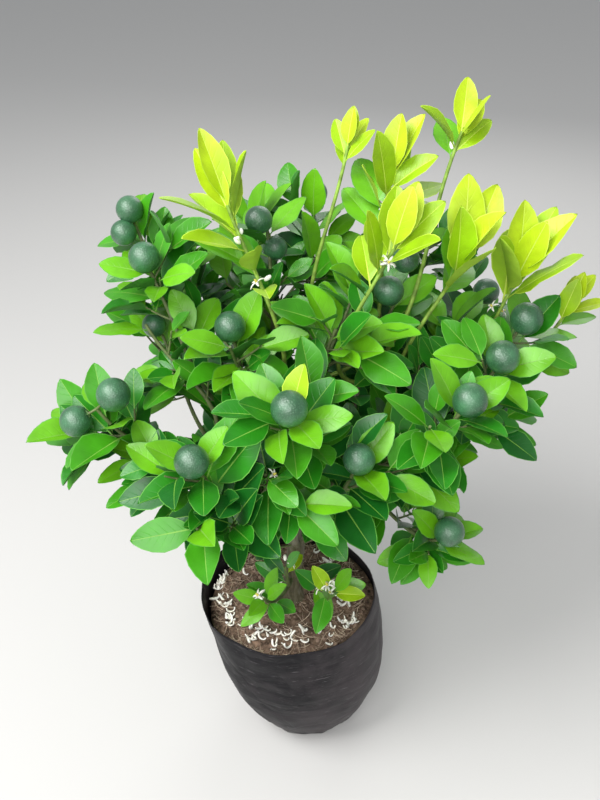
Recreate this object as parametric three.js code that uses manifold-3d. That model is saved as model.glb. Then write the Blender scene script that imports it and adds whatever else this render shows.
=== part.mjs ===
// A young limequat bush in a black film nursery bag, with its soil, stem, boughs and leafy shoots.
// Lengths are millimetres and +Z is up. The origin is the middle of the bag's flat underside.
// +X is to the right and +Y is to the back of the view that shows the fruit best.
import * as THREE from 'three';
import { mergeVertices } from 'three/addons/utils/BufferGeometryUtils.js';
import Module from 'manifold-3d';

const wasm = await Module();
wasm.setup();

// Driving dimensions of the bag and its soil
const GAP = 0.3; // what touching solids keep between them
const GRAIN = 0.004; // every vertex lies on a grid this fine, so near ones become one
const BAG = {
  height: 150, film: 1.2, baseRadius: 44, bellyRadius: 75, bellyHeight: 110, fullness: 2.4,
  footRadius: 42.5, footRise: 1.6, sides: 24,
};
const SLUMP = { mouthShift: -17, bend: 2.2, mouthOval: 0.017, lump: 0.014, pleat: 0.008 };
const SOIL = { level: 140, edgeDrop: 5, slope: 6, lump: 1.6, seatRadius: 18, levelRadius: 34 };

// Driving dimensions of the wood, from the soil to the shoots
const TRUNK = {
  flareRadius: 13, radius: 8.6, headRadius: 7.2, flareHeight: 16, headHeight: 62, lean: 6, back: 3, sides: 10,
};
const BOUGH = { share: 0.5, startRadius: 3.9, tipRadius: 3.4, sides: 6, steps: 3 };
const BRANCH = { share: 0.54, startRadius: 2.7, tipRadius: 2.6, sides: 6, steps: 3 };
const STEM = { startRadius: 1.9, tipRadius: 1.3, sides: 3, steps: 4, outward: 0.5, rise: 0.39 };
const TWIG = {
  startRadius: 1.4, tipRadius: 1.1, sides: 3, steps: 1, share: 0.5, next: -0.16, spread: 1,
  shortest: 0.75, growth: 0.3, rise: 0.15, leaves: 4, turns: [0, 1.3, 2.6, 3.9, 5.2],
};
const STALK = { radius: 1.15, sunk: 0.9, reach: 0.6 };
const FORK = { apart: 1.12, room: 0.03, fromBack: 1.65, rounds: 80, reach: 0.42 }; // angles in radians

// Driving dimensions of leaves and fruit
const LEAF = {
  petiole: 0.13, widest: 0.5, plain: 1.16, thickness: 1.6, arch: 0.16,
  turn: 2.399963, roll: 0.4, droop: -0.04, lowest: -0.16, firstGap: 2.6, widestGap: 9,
  belowFruit: 5, belowTip: 2.5, lowestShare: 0.12, fullBy: 4, fullSize: 1.05, oldBy: 7,
};
const MATURE = {
  tipPitch: 0.62, footPitch: 1.16, lift: 0.1, tipSize: 0.86, slender: 0.51, gapGrowth: 0.65, near: 0.8,
};
const YOUNG = {
  tipPitch: 0.22, footPitch: 0.8, lift: 0.5, tipSize: 0.95, slender: 0.45, gapGrowth: 0.3, near: 0.4,
};
const CLEAR = { spot: 2.4, freeShare: 0.28, wood: 1.2, bagMargin: 7, bagTop: 5 };
const OPEN_SIDE = [1.2, 2.2, 3.2, 4.3, 5.5, 6.8, 8.2]; // the free space before a fruit, in its own radii
const SPOTS = { along: 11, across: 2 };

// A shoot is told by the place of its tip, how many leaves it has and how long they are. Its fruit
// are offsets from the tip with a diameter.
function shootOf(tip, leaves, leaf, more) {
  return { tip, leaves, leaf, twigs: 1, young: false, slender: MATURE.slender, fruit: [], ...more };
}

// This season's growth is one upright tuft of pale leaves.
function youngOf(tip, leaves, leaf, more) {
  return shootOf(tip, leaves, leaf, { young: true, twigs: 0, slender: YOUNG.slender, ...more });
}

// Gaps that one sees the ground through: a point in each and its half width. No leaf grows in their line.
const GAPS = [[-94, 6, 329, 12], [139, -20, 291, 14], [-69, 39, 429, 8], [-130, 43, 365, 10]];
const GAP_STEPS = 10;

// The crown, bough by bough and branch by branch
const CROWN = {
  front: {
    front_left: {
      left_front: shootOf([-77, -71, 343], 12, 49, { fruit: [[-1, -9, 12, 24]] }),
      left_skirt: shootOf([-97, -54, 322], 9, 46),
      front_low: shootOf([-30, -66, 332], 9, 43),
    },
    front_right: {
      front_middle: shootOf([-12, -61, 379], 13, 49, { fruit: [[-1, -9, 12, 25]] }),
      front_right: shootOf([35, -52, 329], 12, 47, { fruit: [[0, -8, 12, 23]] }),
      centre_low: shootOf([72, -22, 332], 11, 47),
    },
  },
  left: {
    left_low: {
      left_tip: shootOf([-155, -12, 350], 13, 49, { fruit: [[-16, -3, -9, 24], [16, -8, 18, 25]] }),
      left_middle: shootOf([-124, 46, 388], 10, 45),
      left_shade: shootOf([-118, 80, 358], 10, 47, { fruit: [[-5, -5, 13, 20]] }),
    },
    left_high: {
      left_upper: shootOf([-121, 68, 425], 14, 49, { fruit: [[-1, -8, 12, 24]] }),
      left_rear: shootOf([-138, 120, 436], 15, 47, { fruit: [[-8, -10, -1, 21], [-3, -1, 15, 22]] }),
      left_back_low: shootOf([-134, 122, 336], 9, 49),
    },
  },
  right: {
    right_low: {
      right_low: shootOf([108, -32, 243], 10, 40, { fruit: [[1, -8, 11, 24]] }),
      right_under: shootOf([88, 38, 294], 8, 45),
      right_back_low: shootOf([114, 92, 296], 9, 49),
    },
    right_middle: {
      right_middle: shootOf([110, -32, 365], 12, 49, { fruit: [[1, -8, 12, 25]] }),
      right_upper: shootOf([141, 9, 376], 11, 49, { fruit: [[-1, -9, 11, 25]] }),
      right_top: shootOf([162, 43, 387], 12, 54, { fruit: [[1, -8, 12, 25]] }),
    },
    right_high: {
      right_young: youngOf([158, 56, 424], 11, 61),
      right_inner: youngOf([113, 40, 446], 9, 58),
      right_edge: youngOf([204, 62, 396], 6, 34),
      right_rear: shootOf([144, 108, 368], 11, 50, { fruit: [[6, 8, 12, 22]] }),
    },
  },
  top: {
    top_left: {
      upper_left: shootOf([-58, 39, 383], 12, 49, { fruit: [[0, -9, 12, 24]] }),
      young_left: youngOf([-57, 45, 484], 14, 54, { slender: 0.35 }),
      upper_rear: shootOf([-32, 112, 436], 12, 49, { fruit: [[-6, -12, 14, 22], [6, -2, -14, 20]] }),
    },
    top_right: {
      upper_right: shootOf([67, 54, 405], 12, 50, { fruit: [[-7, -9, 12, 23]] }),
      young_middle: youngOf([62, 28, 464], 10, 48, { fruit: [[8, 10, -18, 20]] }),
      young_thin_right: youngOf([110, 88, 522], 6, 38),
    },
    top_middle: {
      young_tall: youngOf([62, 84, 492], 11, 50),
      young_thin_left: youngOf([30, 105, 510], 6, 32),
      middle: shootOf([20, 14, 402], 12, 50, { twigs: 2 }),
    },
  },
  back: {
    back_left: {
      back_left: shootOf([-98, 158, 366], 11, 50, { fruit: [[-4, 9, 12, 24]] }),
      back_left_low: shootOf([-66, 148, 286], 9, 49),
      back_left_high: shootOf([-48, 158, 420], 12, 50),
    },
    back_right: {
      back_right: shootOf([98, 158, 404], 11, 50, { fruit: [[3, 9, 12, 24]] }),
      back_right_low: shootOf([48, 156, 290], 9, 49),
      back_middle: shootOf([6, 162, 432], 12, 50, { fruit: [[0, 10, 12, 23]] }),
    },
  },
};

// Suckers leave the side of the trunk, each at its own height, and end at their tip.
const SUCKERS = {
  foot_left: shootOf([-35, -46, 186], 9, 31, { height: 18, twigs: 0, slender: 0.44 }),
  foot_front: shootOf([22, -42, 190], 9, 32, { height: 34, twigs: 0, slender: 0.48 }),
  foot_middle: shootOf([-18, -31, 206], 8, 33, { height: 27, twigs: 0, slender: 0.4 }),
};

const COLOURS = {
  film: { color: 0x35323a, roughness: 0.5 },
  soil: { color: 0x5b4639, roughness: 0.95 },
  bark: { color: 0x6f6a50, roughness: 0.85 },
  mature: { color: 0x2f9a2e, roughness: 0.4 },
  young: { color: 0xa9d320, roughness: 0.45 },
};

const UP = new THREE.Vector3(0, 0, 1);
const AWAY = new THREE.Vector3(0.31, 0.95, 0.05).normalize();
const LIGHT = new THREE.Vector3(-0.1, -0.4, 1).normalize(); // where leaves turn their faces
const place = ([x, y, z]) => new THREE.Vector3(x, y, z);
const VISITOR = place([-6, -521, 709]); // where one stands to look at the bush
const mix = (a, b, share) => a + (b - a) * share;
const mean = (points) => points.reduce((sum, p) => sum.add(p), place([0, 0, 0])).divideScalar(points.length);

// Numbers from 0 to 1 that are the same in every run
function dice(seed) {
  let state = seed >>> 0;
  return () => {
    state = (Math.imul(state, 1664525) + 1013904223) >>> 0;
    return state / 4294967296;
  };
}

// Closes a geometry: one vertex at each place, no face without an area, and no two faces back to back.
function closed(geometry) {
  const bare = geometry.clone();
  for (const name of Object.keys(bare.attributes)) {
    if (name !== 'position') bare.deleteAttribute(name);
  }
  const values = bare.attributes.position.array;
  values.forEach((value, i) => { values[i] = Math.round(value / GRAIN) * GRAIN; });
  const merged = mergeVertices(bare, GRAIN / 10);
  const kept = new Map();
  for (let i = 0; i < merged.index.count; i += 3) {
    const [a, b, c] = [0, 1, 2].map((k) => merged.index.getX(i + k));
    if (a === b || b === c || c === a) continue;
    const key = [a, b, c].sort((p, q) => p - q).join(' ');
    if (!kept.delete(key)) kept.set(key, [a, b, c]);
  }
  merged.setIndex([...kept.values()].flat());
  return merged;
}

function toSolid(geometry) {
  return new wasm.Manifold(new wasm.Mesh({
    numProp: 3,
    vertProperties: new Float32Array(geometry.attributes.position.array),
    triVerts: new Uint32Array(geometry.index.array),
  }));
}

// The outer shell of a solid, without any hollow or crumb that its joints sealed off.
function outerShell(solid) {
  const [shell] = solid.decompose().sort((a, b) => b.volume() - a.volume());
  const mesh = shell.getMesh();
  const geometry = new THREE.BufferGeometry();
  geometry.setAttribute('position', new THREE.BufferAttribute(new Float32Array(mesh.vertProperties), 3));
  geometry.setIndex(new THREE.BufferAttribute(new Uint32Array(mesh.triVerts), 1));
  return closed(geometry);
}

// Whether a geometry is one body, and each of its edges lies between just two faces.
function sound(geometry) {
  const edges = new Set();
  const { index } = geometry;
  for (let i = 0; i < index.count; i += 3) {
    const corners = [0, 1, 2, 0].map((k) => index.getX(i + k));
    for (let k = 0; k < 3; k++) {
      const edge = `${corners[k]} ${corners[k + 1]}`;
      if (edges.has(edge)) return false;
      edges.add(edge);
    }
  }
  return [...edges].every((edge) => edges.has(edge.split(' ').reverse().join(' ')))
    && toSolid(geometry).decompose().length === 1;
}

// Joins closed geometries that reach into each other.
function fused(geometries) {
  return outerShell(geometries.map(toSolid).reduce((sum, next) => sum.add(next)));
}

// Joins a shoot's wood and leaves. Where one leaf only grazes the rest, the join is made without it.
function fusedShoot(wood, leaves) {
  const whole = fused([...wood, ...leaves]);
  if (sound(whole)) return whole;
  for (let i = 0; i < leaves.length; i++) {
    const others = fused([...wood, ...leaves.toSpliced(i, 1)]);
    if (sound(others)) return others;
  }
  return fusedShoot(wood, leaves.slice(1));
}

// Bends a unit cylinder along rings. Each ring has a centre, a direction, half its width across
// and half its depth; shape turns a point of the unit circle into an offset from the centre.
function sleeve(rings, sides, shape) {
  const steps = rings.length - 1;
  const geometry = new THREE.CylinderGeometry(1, 1, steps, sides, steps);
  const position = geometry.attributes.position;
  for (let i = 0; i < position.count; i++) {
    const ring = rings[Math.round(position.getY(i) + steps / 2)];
    const point = shape(ring, position.getX(i), position.getZ(i)).add(ring.centre);
    position.setXYZ(i, point.x, point.y, point.z);
  }
  return closed(geometry);
}

function roundSection(ring, x, z) {
  const side = new THREE.Vector3().crossVectors(ring.along, AWAY).normalize();
  const lift = new THREE.Vector3().crossVectors(side, ring.along);
  return side.multiplyScalar(x * ring.radius).addScaledVector(lift, z * ring.radius);
}

// The middle line of a limb: straight steps along a curve, from its fork to its tip.
class Line {
  constructor(curve, steps) {
    this.points = curve.getPoints(steps);
    this.length = this.points.slice(1).reduce((sum, point, i) => sum + point.distanceTo(this.points[i]), 0);
  }

  step(share) {
    const last = this.points.length - 2;
    const i = Math.min(last, Math.floor(share * (last + 1)));
    return [this.points[i], this.points[i + 1], share * (last + 1) - i];
  }

  at(share) {
    const [from, to, part] = this.step(share);
    return from.clone().lerp(to, part);
  }

  along(share) {
    const [from, to] = this.step(share);
    return to.clone().sub(from).normalize();
  }
}

// A limb leaves its fork in one direction and bends once towards its tip.
function limbLine(start, direction, tip, wood) {
  const knee = start.clone().addScaledVector(direction, start.distanceTo(tip) * FORK.reach);
  return new Line(new THREE.QuadraticBezierCurve3(start, knee, tip), wood.steps);
}

// A shoot's stem also turns up towards the light at its tip.
function stemLine(start, direction, tip) {
  const reach = start.distanceTo(tip) * STEM.rise;
  const arrival = tip.clone().sub(head).setZ(0).normalize().multiplyScalar(STEM.outward).add(UP).normalize();
  const knee = start.clone().addScaledVector(direction, reach);
  const bend = tip.clone().addScaledVector(arrival, -reach);
  return new Line(new THREE.CubicBezierCurve3(start, knee, bend, tip), STEM.steps);
}

function limbRings(line, wood) {
  return line.points.map((centre, i) => {
    const share = i / wood.steps;
    const [before, after] = [Math.max(0, share - 0.01), Math.min(1, share + 0.01)];
    const along = line.along(before).add(line.along(after)).normalize();
    return { centre, along, radius: mix(wood.startRadius, wood.tipRadius, share) };
  });
}

// Adds the rounded end of a limb that forks, whose shoots then stand on it.
function roundedTip(rings) {
  const last = rings[rings.length - 1];
  const dome = [0.5, 1].map((share) => ({
    centre: last.centre.clone().addScaledVector(last.along, last.radius * Math.sin(share * Math.PI / 2)),
    along: last.along,
    radius: share === 1 ? 0 : last.radius * Math.cos(share * Math.PI / 2),
  }));
  return [...rings, ...dome];
}

// Turns the first directions of a fork's limbs apart, and away from the limb that carries them.
function spread(directions, apart, back) {
  for (let round = 0; round < FORK.rounds; round++) {
    directions.forEach((a, i) => directions.slice(i + 1).forEach((b) => {
      const angle = a.angleTo(b);
      if (angle >= apart) return;
      const push = b.clone().sub(a).normalize().multiplyScalar((apart - angle) / 2);
      a.sub(push).normalize();
      b.add(push).normalize();
    }));
    for (const a of directions) {
      const short = FORK.fromBack - a.angleTo(back);
      if (short > 0) a.addScaledVector(a.clone().sub(back).normalize(), short).normalize();
    }
  }
  return directions;
}

// The limbs that leave one fork: each starts just clear of the rounded tip, in its own direction.
function forkLines(fork, back, radius, tips, wood, bend = limbLine) {
  const apart = 2 * Math.asin((wood.startRadius + GAP) / (radius + GAP)) + FORK.room;
  const wanted = tips.map((tip) => tip.clone().sub(fork).normalize());
  const directions = spread(wanted, Math.max(apart, FORK.apart), back);
  return tips.map((tip, i) => {
    const start = fork.clone().addScaledVector(directions[i], radius + GAP);
    return bend(start, directions[i], tip, wood);
  });
}

// The bag and its soil

function bagRadius(z) {
  const rise = Math.min(z, BAG.bellyHeight) / BAG.bellyHeight;
  return BAG.bellyRadius - (BAG.bellyRadius - BAG.baseRadius) * (1 - rise) ** BAG.fullness;
}

// Where the bag's middle stands at a height, as its mouth leans to one side.
function middleAt(z) {
  return SLUMP.mouthShift * (Math.max(0, z) / BAG.height) ** SLUMP.bend;
}

// Moves a turned shape as the filled film hangs: oval at the mouth, with soft lumps and pleats.
function slumped(geometry) {
  const position = geometry.attributes.position;
  for (let i = 0; i < position.count; i++) {
    const [x, y, z] = [position.getX(i), position.getY(i), position.getZ(i)];
    const share = z / BAG.height;
    const angle = Math.atan2(y, x);
    const swell = 1 + SLUMP.mouthOval * share * Math.cos(2 * angle)
      + SLUMP.lump * Math.sin(Math.PI * share) * Math.cos(3 * angle + 1.1)
      + SLUMP.pleat * share * Math.cos(7 * angle - 0.6);
    position.setXYZ(i, x * swell + middleAt(z), y * swell, z);
  }
  return geometry;
}

function turned(profile) {
  const points = profile.map(([r, z]) => new THREE.Vector2(r, z));
  return closed(new THREE.LatheGeometry(points, BAG.sides).rotateX(Math.PI / 2));
}

function wallProfile(inset, bottom, top) {
  const heights = [BAG.footRise, 15, 40, 75, BAG.bellyHeight, 132, BAG.height];
  const between = heights.filter((z) => z > bottom && z < top);
  return [...between, top].map((z) => [bagRadius(z) - inset, z]);
}

function bag() {
  const outside = [[0, 0], [BAG.footRadius, 0], ...wallProfile(0, 0, BAG.height)];
  const inside = wallProfile(BAG.film, BAG.footRise, BAG.height).reverse();
  const floor = [[BAG.footRadius - BAG.film, BAG.film], [0, BAG.film]];
  return slumped(turned([...outside, ...inside, ...floor]));
}

function soil() {
  const inset = BAG.film + GAP;
  const edge = SOIL.level - SOIL.edgeDrop;
  const wall = wallProfile(inset, BAG.footRise, edge);
  const floor = [[0, inset], [BAG.footRadius - inset, inset]];
  const flat = [46, SOIL.levelRadius, SOIL.seatRadius, 0].map((radius) => [radius, SOIL.level]);
  const geometry = turned([...floor, ...wall, [60, SOIL.level - 1], ...flat]);
  const position = geometry.attributes.position;
  for (let i = 0; i < position.count; i++) {
    const [x, y, z] = [position.getX(i), position.getY(i), position.getZ(i)];
    if (z < edge) continue;
    const radius = Math.hypot(x, y);
    const loose = THREE.MathUtils.smoothstep(radius, SOIL.seatRadius, SOIL.levelRadius);
    const lumps = SOIL.lump * Math.sin(x / 9 + 0.7) * Math.cos(y / 8) + SOIL.slope * x / BAG.bellyRadius;
    position.setZ(i, z + loose * lumps);
  }
  return slumped(geometry);
}

// The trunk: a flat cut on the soil, a root flare, and a rounded head that the boughs leave
const foot = place([middleAt(SOIL.level), 0, SOIL.level + GAP]);
const head = foot.clone().add(place([TRUNK.lean, TRUNK.back, TRUNK.headHeight]));

function trunkCentre(height) {
  const share = height / TRUNK.headHeight;
  return new THREE.Vector3(mix(foot.x, head.x, share), mix(foot.y, head.y, share ** 2), foot.z + height);
}

function trunkRadius(height) {
  const flare = Math.max(0, 1 - height / TRUNK.flareHeight) ** 2;
  const taper = mix(TRUNK.radius, TRUNK.headRadius, height / TRUNK.headHeight);
  return taper + flare * (TRUNK.flareRadius - TRUNK.radius);
}

function trunk() {
  const heights = [0, 5, TRUNK.flareHeight, 32, 48, TRUNK.headHeight];
  const rings = heights.map((height) => ({
    centre: trunkCentre(height), along: UP, radius: trunkRadius(height),
  }));
  return sleeve(roundedTip(rings), TRUNK.sides, roundSection);
}

// Leaves, fruit and the space that they take

// Half the width of a leaf's blade at a share of its length, as a share of its greatest half width.
function bladeShare(share) {
  if (share <= LEAF.petiole) return 0;
  return Math.sin(Math.PI * ((share - LEAF.petiole) / (1 - LEAF.petiole)) ** 0.92) ** 0.75;
}

// A point of a leaf: along it from 0 to 1, and across it from -1 to 1.
function leafPoint(leaf, along, across) {
  return leaf.base.clone()
    .addScaledVector(leaf.along, leaf.length * along)
    .addScaledVector(leaf.face, -leaf.arch * leaf.length * along ** 2)
    .addScaledVector(leaf.side, across * bladeShare(along) * leaf.width / 2);
}

function leafSpots(leaf) {
  const spots = [];
  for (let i = 1; i <= SPOTS.along; i++) {
    const share = mix(LEAF.petiole, 1, i / SPOTS.along);
    for (let j = -SPOTS.across; j <= SPOTS.across; j++) {
      spots.push({ point: leafPoint(leaf, share, j / SPOTS.across), radius: CLEAR.spot, share });
    }
  }
  return spots;
}

// What is grown so far. Each body has an owner and spots, which are small balls that fill it.
const grown = [];

function remember(owner, kind, spots) {
  const middle = mean(spots.map((spot) => spot.point));
  const reach = Math.max(...spots.map((spot) => spot.point.distanceTo(middle) + spot.radius));
  grown.push({ owner, kind, spots, middle, reach });
}

function tooClose(a, b, share) {
  return a.point.distanceTo(b.point) < (a.radius + b.radius) * share;
}

function nearBag({ point }) {
  const away = Math.hypot(point.x - middleAt(Math.min(point.z, BAG.height)), point.y);
  const beside = point.z < BAG.height + CLEAR.bagTop && away < BAG.bellyRadius + CLEAR.bagMargin;
  return beside || point.z < CLEAR.bagTop;
}

// Whether a leaf or twig would touch anything grown so far, or reach into the bag. Leaves of its
// own shoot may come nearer, by a share.
function blocked(owner, spots, near) {
  const middle = mean(spots.map((spot) => spot.point));
  const reach = Math.max(...spots.map((spot) => spot.point.distanceTo(middle) + spot.radius));
  if (spots.some(nearBag)) return true;
  return grown.some((body) => {
    if (body.middle.distanceTo(middle) > body.reach + reach) return false;
    const own = body.owner === owner;
    if (own && body.kind === 'wood') return false;
    const share = own && body.kind === 'leaf' ? near : 1;
    const outer = (spot) => !own || spot.share > CLEAR.freeShare;
    return spots.filter(outer).some((a) => body.spots.filter(outer).some((b) => tooClose(a, b, share)));
  });
}

function woodSpots(line, wood) {
  const count = Math.ceil(line.length / 4);
  return Array.from({ length: count + 1 }, (_, i) => ({
    point: line.at(i / count),
    radius: mix(wood.startRadius, wood.tipRadius, i / count) + CLEAR.wood,
    share: 1,
  }));
}

// The first leaf that is free among a few tries: as drawn, turned to either side, then shorter.
// Each try is a turn about the stem, a wider pitch and a share of the length.
const TRIES = [
  [0, 0, 1], [0.45, 0, 1], [-0.45, 0, 1], [0, 0.4, 1], [0.8, 0.3, 0.9], [-0.8, 0.3, 0.9], [0.2, 0.5, 0.75],
  [-0.5, -0.3, 0.75],
];
function placedLeaf(owner, wanted) {
  for (const [turn, open, size] of TRIES) {
    const leaf = leafAt(wanted, turn, open, size);
    if (!blocked(owner, leafSpots(leaf), wanted.near)) return leaf;
  }
  return null;
}

function leafAt({ base, stem, bearing, pitch, lift, length, slender, roll, arch }, turn, open, size) {
  const side = new THREE.Vector3().crossVectors(stem, AWAY).normalize();
  const other = new THREE.Vector3().crossVectors(stem, side);
  const outward = side.multiplyScalar(Math.cos(bearing + turn))
    .addScaledVector(other, Math.sin(bearing + turn));
  const along = stem.clone().multiplyScalar(Math.cos(pitch + open))
    .addScaledVector(outward, Math.sin(pitch + open))
    .addScaledVector(UP, lift).normalize();
  along.setZ(Math.max(along.z, LEAF.lowest)).normalize();
  const face = LIGHT.clone().addScaledVector(stem, 0.35);
  face.addScaledVector(along, -face.dot(along)).normalize().applyAxisAngle(along, roll);
  return {
    base, along, face, arch,
    side: new THREE.Vector3().crossVectors(along, face),
    length: length * size,
    width: length * size * slender,
  };
}

// Grows leaves down one stem from its tip by a fixed turn, each with its own small chances.
function leavesOn(owner, line, count, shoot, roll) {
  const habit = shoot.young ? YOUNG : MATURE;
  const found = [];
  let gap = LEAF.firstGap;
  let down = shoot.fruit.length ? LEAF.belowFruit : LEAF.belowTip;
  const turn = roll() * 2 * Math.PI;
  for (let i = 0; i < count; i++) {
    const chances = [roll(), roll(), roll(), roll(), roll()].map((chance) => chance - 0.5);
    const age = Math.min(1, i / LEAF.oldBy);
    const grownShare = Math.min(1, i / LEAF.fullBy);
    const share = 1 - down / line.length;
    down += gap;
    gap = Math.min(gap + habit.gapGrowth, LEAF.widestGap);
    if (share < LEAF.lowestShare) break;
    const leaf = placedLeaf(owner, {
      base: line.at(share),
      stem: line.along(share),
      bearing: turn + i * LEAF.turn + chances[0] * 0.5,
      pitch: mix(habit.tipPitch, habit.footPitch, age) + chances[1] * 0.35,
      lift: mix(habit.lift, -LEAF.droop, age) + chances[2] * 0.2,
      length: shoot.leaf * mix(habit.tipSize, LEAF.fullSize, grownShare) * (1 + chances[3] * 0.22),
      slender: shoot.slender,
      near: habit.near,
      roll: chances[4] * 2 * LEAF.roll,
      arch: LEAF.arch * (1 + chances[1]),
    });
    if (!leaf) continue;
    leaf.age = age;
    remember(owner, 'leaf', leafSpots(leaf));
    found.push(leaf);
  }
  return found;
}

// Side twigs leave the lower half of the stem, each with a few leaves.
function twigsOn(owner, line, shoot, roll) {
  const twigs = [];
  for (let i = 0; i < shoot.twigs; i++) {
    const share = TWIG.share + TWIG.next * i + (roll() - 0.5) * 0.1;
    const bearing = roll() * 2 * Math.PI;
    const stem = line.along(share);
    const side = new THREE.Vector3().crossVectors(stem, AWAY).normalize();
    const other = new THREE.Vector3().crossVectors(stem, side);
    const long = shoot.leaf * (TWIG.shortest + TWIG.growth * roll());
    for (const turn of TWIG.turns) {
      const outward = side.clone().multiplyScalar(Math.cos(bearing + turn))
        .addScaledVector(other, Math.sin(bearing + turn));
      const along = stem.clone().addScaledVector(outward, TWIG.spread).normalize();
      const start = line.at(share);
      const tip = start.clone().addScaledVector(along, long).addScaledVector(UP, long * TWIG.rise);
      const twig = limbLine(start, along, tip, TWIG);
      if (blocked(owner, woodSpots(twig, TWIG).slice(1), MATURE.near)) continue;
      remember(owner, 'wood', woodSpots(twig, TWIG));
      twigs.push(twig);
      break;
    }
  }
  return twigs;
}

// A fruit keeps its own space. Where it hangs before its shoot, leaves also part on the visitor's side.
function fruitOn(owner, tip, [dx, dy, dz, diameter]) {
  const centre = tip.clone().add(place([dx, dy, dz]));
  const radius = diameter / 2;
  const ahead = VISITOR.clone().sub(centre).normalize();
  const open = dy < 0 ? OPEN_SIDE : [];
  remember(owner, 'fruit', [0, ...open].map((reach) => ({
    point: centre.clone().addScaledVector(ahead, radius * reach),
    radius: radius * (reach ? 0.8 : 1),
    share: 1,
  })));
  return { centre, radius, tip };
}

function shootNumber(name) {
  return [...name].reduce((sum, letter) => Math.imul(sum, 31) + letter.charCodeAt(0), 7) >>> 0;
}

// First every stem and fruit takes its place, then the leaves share the space that is left.
function startShoot(name, shoot, line) {
  remember(name, 'wood', woodSpots(line, STEM));
  const tip = line.at(1);
  return { name, shoot, line, fruit: shoot.fruit.map((row) => fruitOn(name, tip, row)) };
}

function leafOut(started) {
  const { name, shoot, line } = started;
  const roll = dice(shootNumber(name));
  const twigs = twigsOn(name, line, shoot, roll);
  const leaves = leavesOn(name, line, shoot.leaves, shoot, roll);
  const bare = { ...shoot, fruit: [] };
  for (const twig of twigs) leaves.push(...leavesOn(name, twig, TWIG.leaves, bare, roll));
  return { ...started, twigs, leaves };
}

// A leaf is a three-cornered spindle from the middle of its twig: flat above, with a keel below.
function leafGeometry(leaf) {
  const rings = [[0, 0], [LEAF.widest, 1], [1, 0]].map(([share, full]) => ({
    centre: leafPoint(leaf, share, 0),
    half: full * leaf.width * LEAF.plain / 2,
    deep: full * LEAF.thickness,
  }));
  const corner = Math.sin(Math.PI / 3);
  return sleeve(rings, 3, (ring, x, z) => leaf.side.clone()
    .multiplyScalar(-x * ring.half / corner)
    .addScaledVector(leaf.face, -ring.deep * (z + 0.5) / 1.5));
}

function fruitGeometry({ centre, radius }) {
  return closed(new THREE.IcosahedronGeometry(radius, 1).translate(centre.x, centre.y, centre.z));
}

function stalkGeometry({ centre, tip, radius }) {
  const along = centre.clone().sub(tip).normalize();
  const end = centre.clone().addScaledVector(along, -radius * STALK.reach);
  const rings = [tip.clone().addScaledVector(along, -STALK.sunk), end]
    .map((point) => ({ centre: point, along, radius: STALK.radius }));
  return sleeve(rings, 3, roundSection);
}

function shootGeometry({ line, twigs, leaves, fruit }) {
  const wood = [
    sleeve(limbRings(line, STEM), STEM.sides, roundSection),
    ...twigs.map((twig) => sleeve(limbRings(twig, TWIG), TWIG.sides, roundSection)),
    ...fruit.map(stalkGeometry),
    ...fruit.map(fruitGeometry),
  ];
  return fusedShoot(wood, leaves.map(leafGeometry));
}

// The whole plant

const plant = new THREE.Group();

function addPart(name, geometry, look) {
  const mesh = new THREE.Mesh(geometry, new THREE.MeshStandardMaterial({ metalness: 0, ...COLOURS[look] }));
  mesh.name = name;
  plant.add(mesh);
}

addPart('bag', bag(), 'film');
addPart('soil', soil(), 'soil');
addPart('trunk', trunk(), 'bark');
remember('trunk', 'wood', [0, 5, 10, 16, 22, 28, 34, 40, 46, 52, 58, 62].map((height) => ({
  point: trunkCentre(height), radius: trunkRadius(height) + CLEAR.wood, share: 1,
})));

for (const [x, y, z, radius] of GAPS) {
  const ahead = VISITOR.clone().sub(place([x, y, z])).normalize();
  remember('', 'gap', Array.from({ length: 2 * GAP_STEPS + 1 }, (_, i) => ({
    point: place([x, y, z]).addScaledVector(ahead, (i - GAP_STEPS) * radius), radius, share: 1,
  })));
}

const shares = (from, share, points) => from.clone().lerp(mean(points), share);
const started = [];
const boughNames = Object.keys(CROWN);
const branchTips = boughNames.map((bough) => Object.values(CROWN[bough])
  .map((branch) => shares(head, BRANCH.share, Object.values(branch).map((shoot) => place(shoot.tip)))));
const boughTips = branchTips.map((tips) => shares(head, BOUGH.share, tips));
const boughLines = forkLines(head, UP.clone().negate(), TRUNK.headRadius, boughTips, BOUGH);
const backAlong = (line) => line.along(1).negate();

function addLimb(name, line, wood) {
  addPart(name, sleeve(roundedTip(limbRings(line, wood)), wood.sides, roundSection), 'bark');
  remember(name, 'wood', woodSpots(line, wood));
}

function addBranch(branch, shoots, line) {
  addLimb(`branch_${branch}`, line, BRANCH);
  const tips = Object.values(shoots).map((shoot) => place(shoot.tip));
  const stems = forkLines(line.at(1), backAlong(line), BRANCH.tipRadius, tips, STEM, stemLine);
  Object.entries(shoots).forEach(([name, shoot], i) => {
    started.push(startShoot(`shoot_${name}`, shoot, stems[i]));
  });
}

boughNames.forEach((bough, i) => {
  addLimb(`bough_${bough}`, boughLines[i], BOUGH);
  const back = backAlong(boughLines[i]);
  const lines = forkLines(boughTips[i], back, BOUGH.tipRadius, branchTips[i], BRANCH);
  Object.entries(CROWN[bough]).forEach(([branch, shoots], j) => addBranch(branch, shoots, lines[j]));
});

Object.entries(SUCKERS).forEach(([name, sucker]) => {
  const tip = place(sucker.tip);
  const centre = trunkCentre(sucker.height);
  const outward = tip.clone().sub(centre).setZ(0).normalize();
  const start = centre.clone().addScaledVector(outward, trunkRadius(sucker.height) + GAP);
  started.push(startShoot(`shoot_${name}`, sucker, stemLine(start, outward, tip)));
});

for (const shoot of started.map(leafOut)) {
  addPart(shoot.name, shootGeometry(shoot), shoot.shoot.young ? 'young' : 'mature');
}

export default plant;
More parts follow.
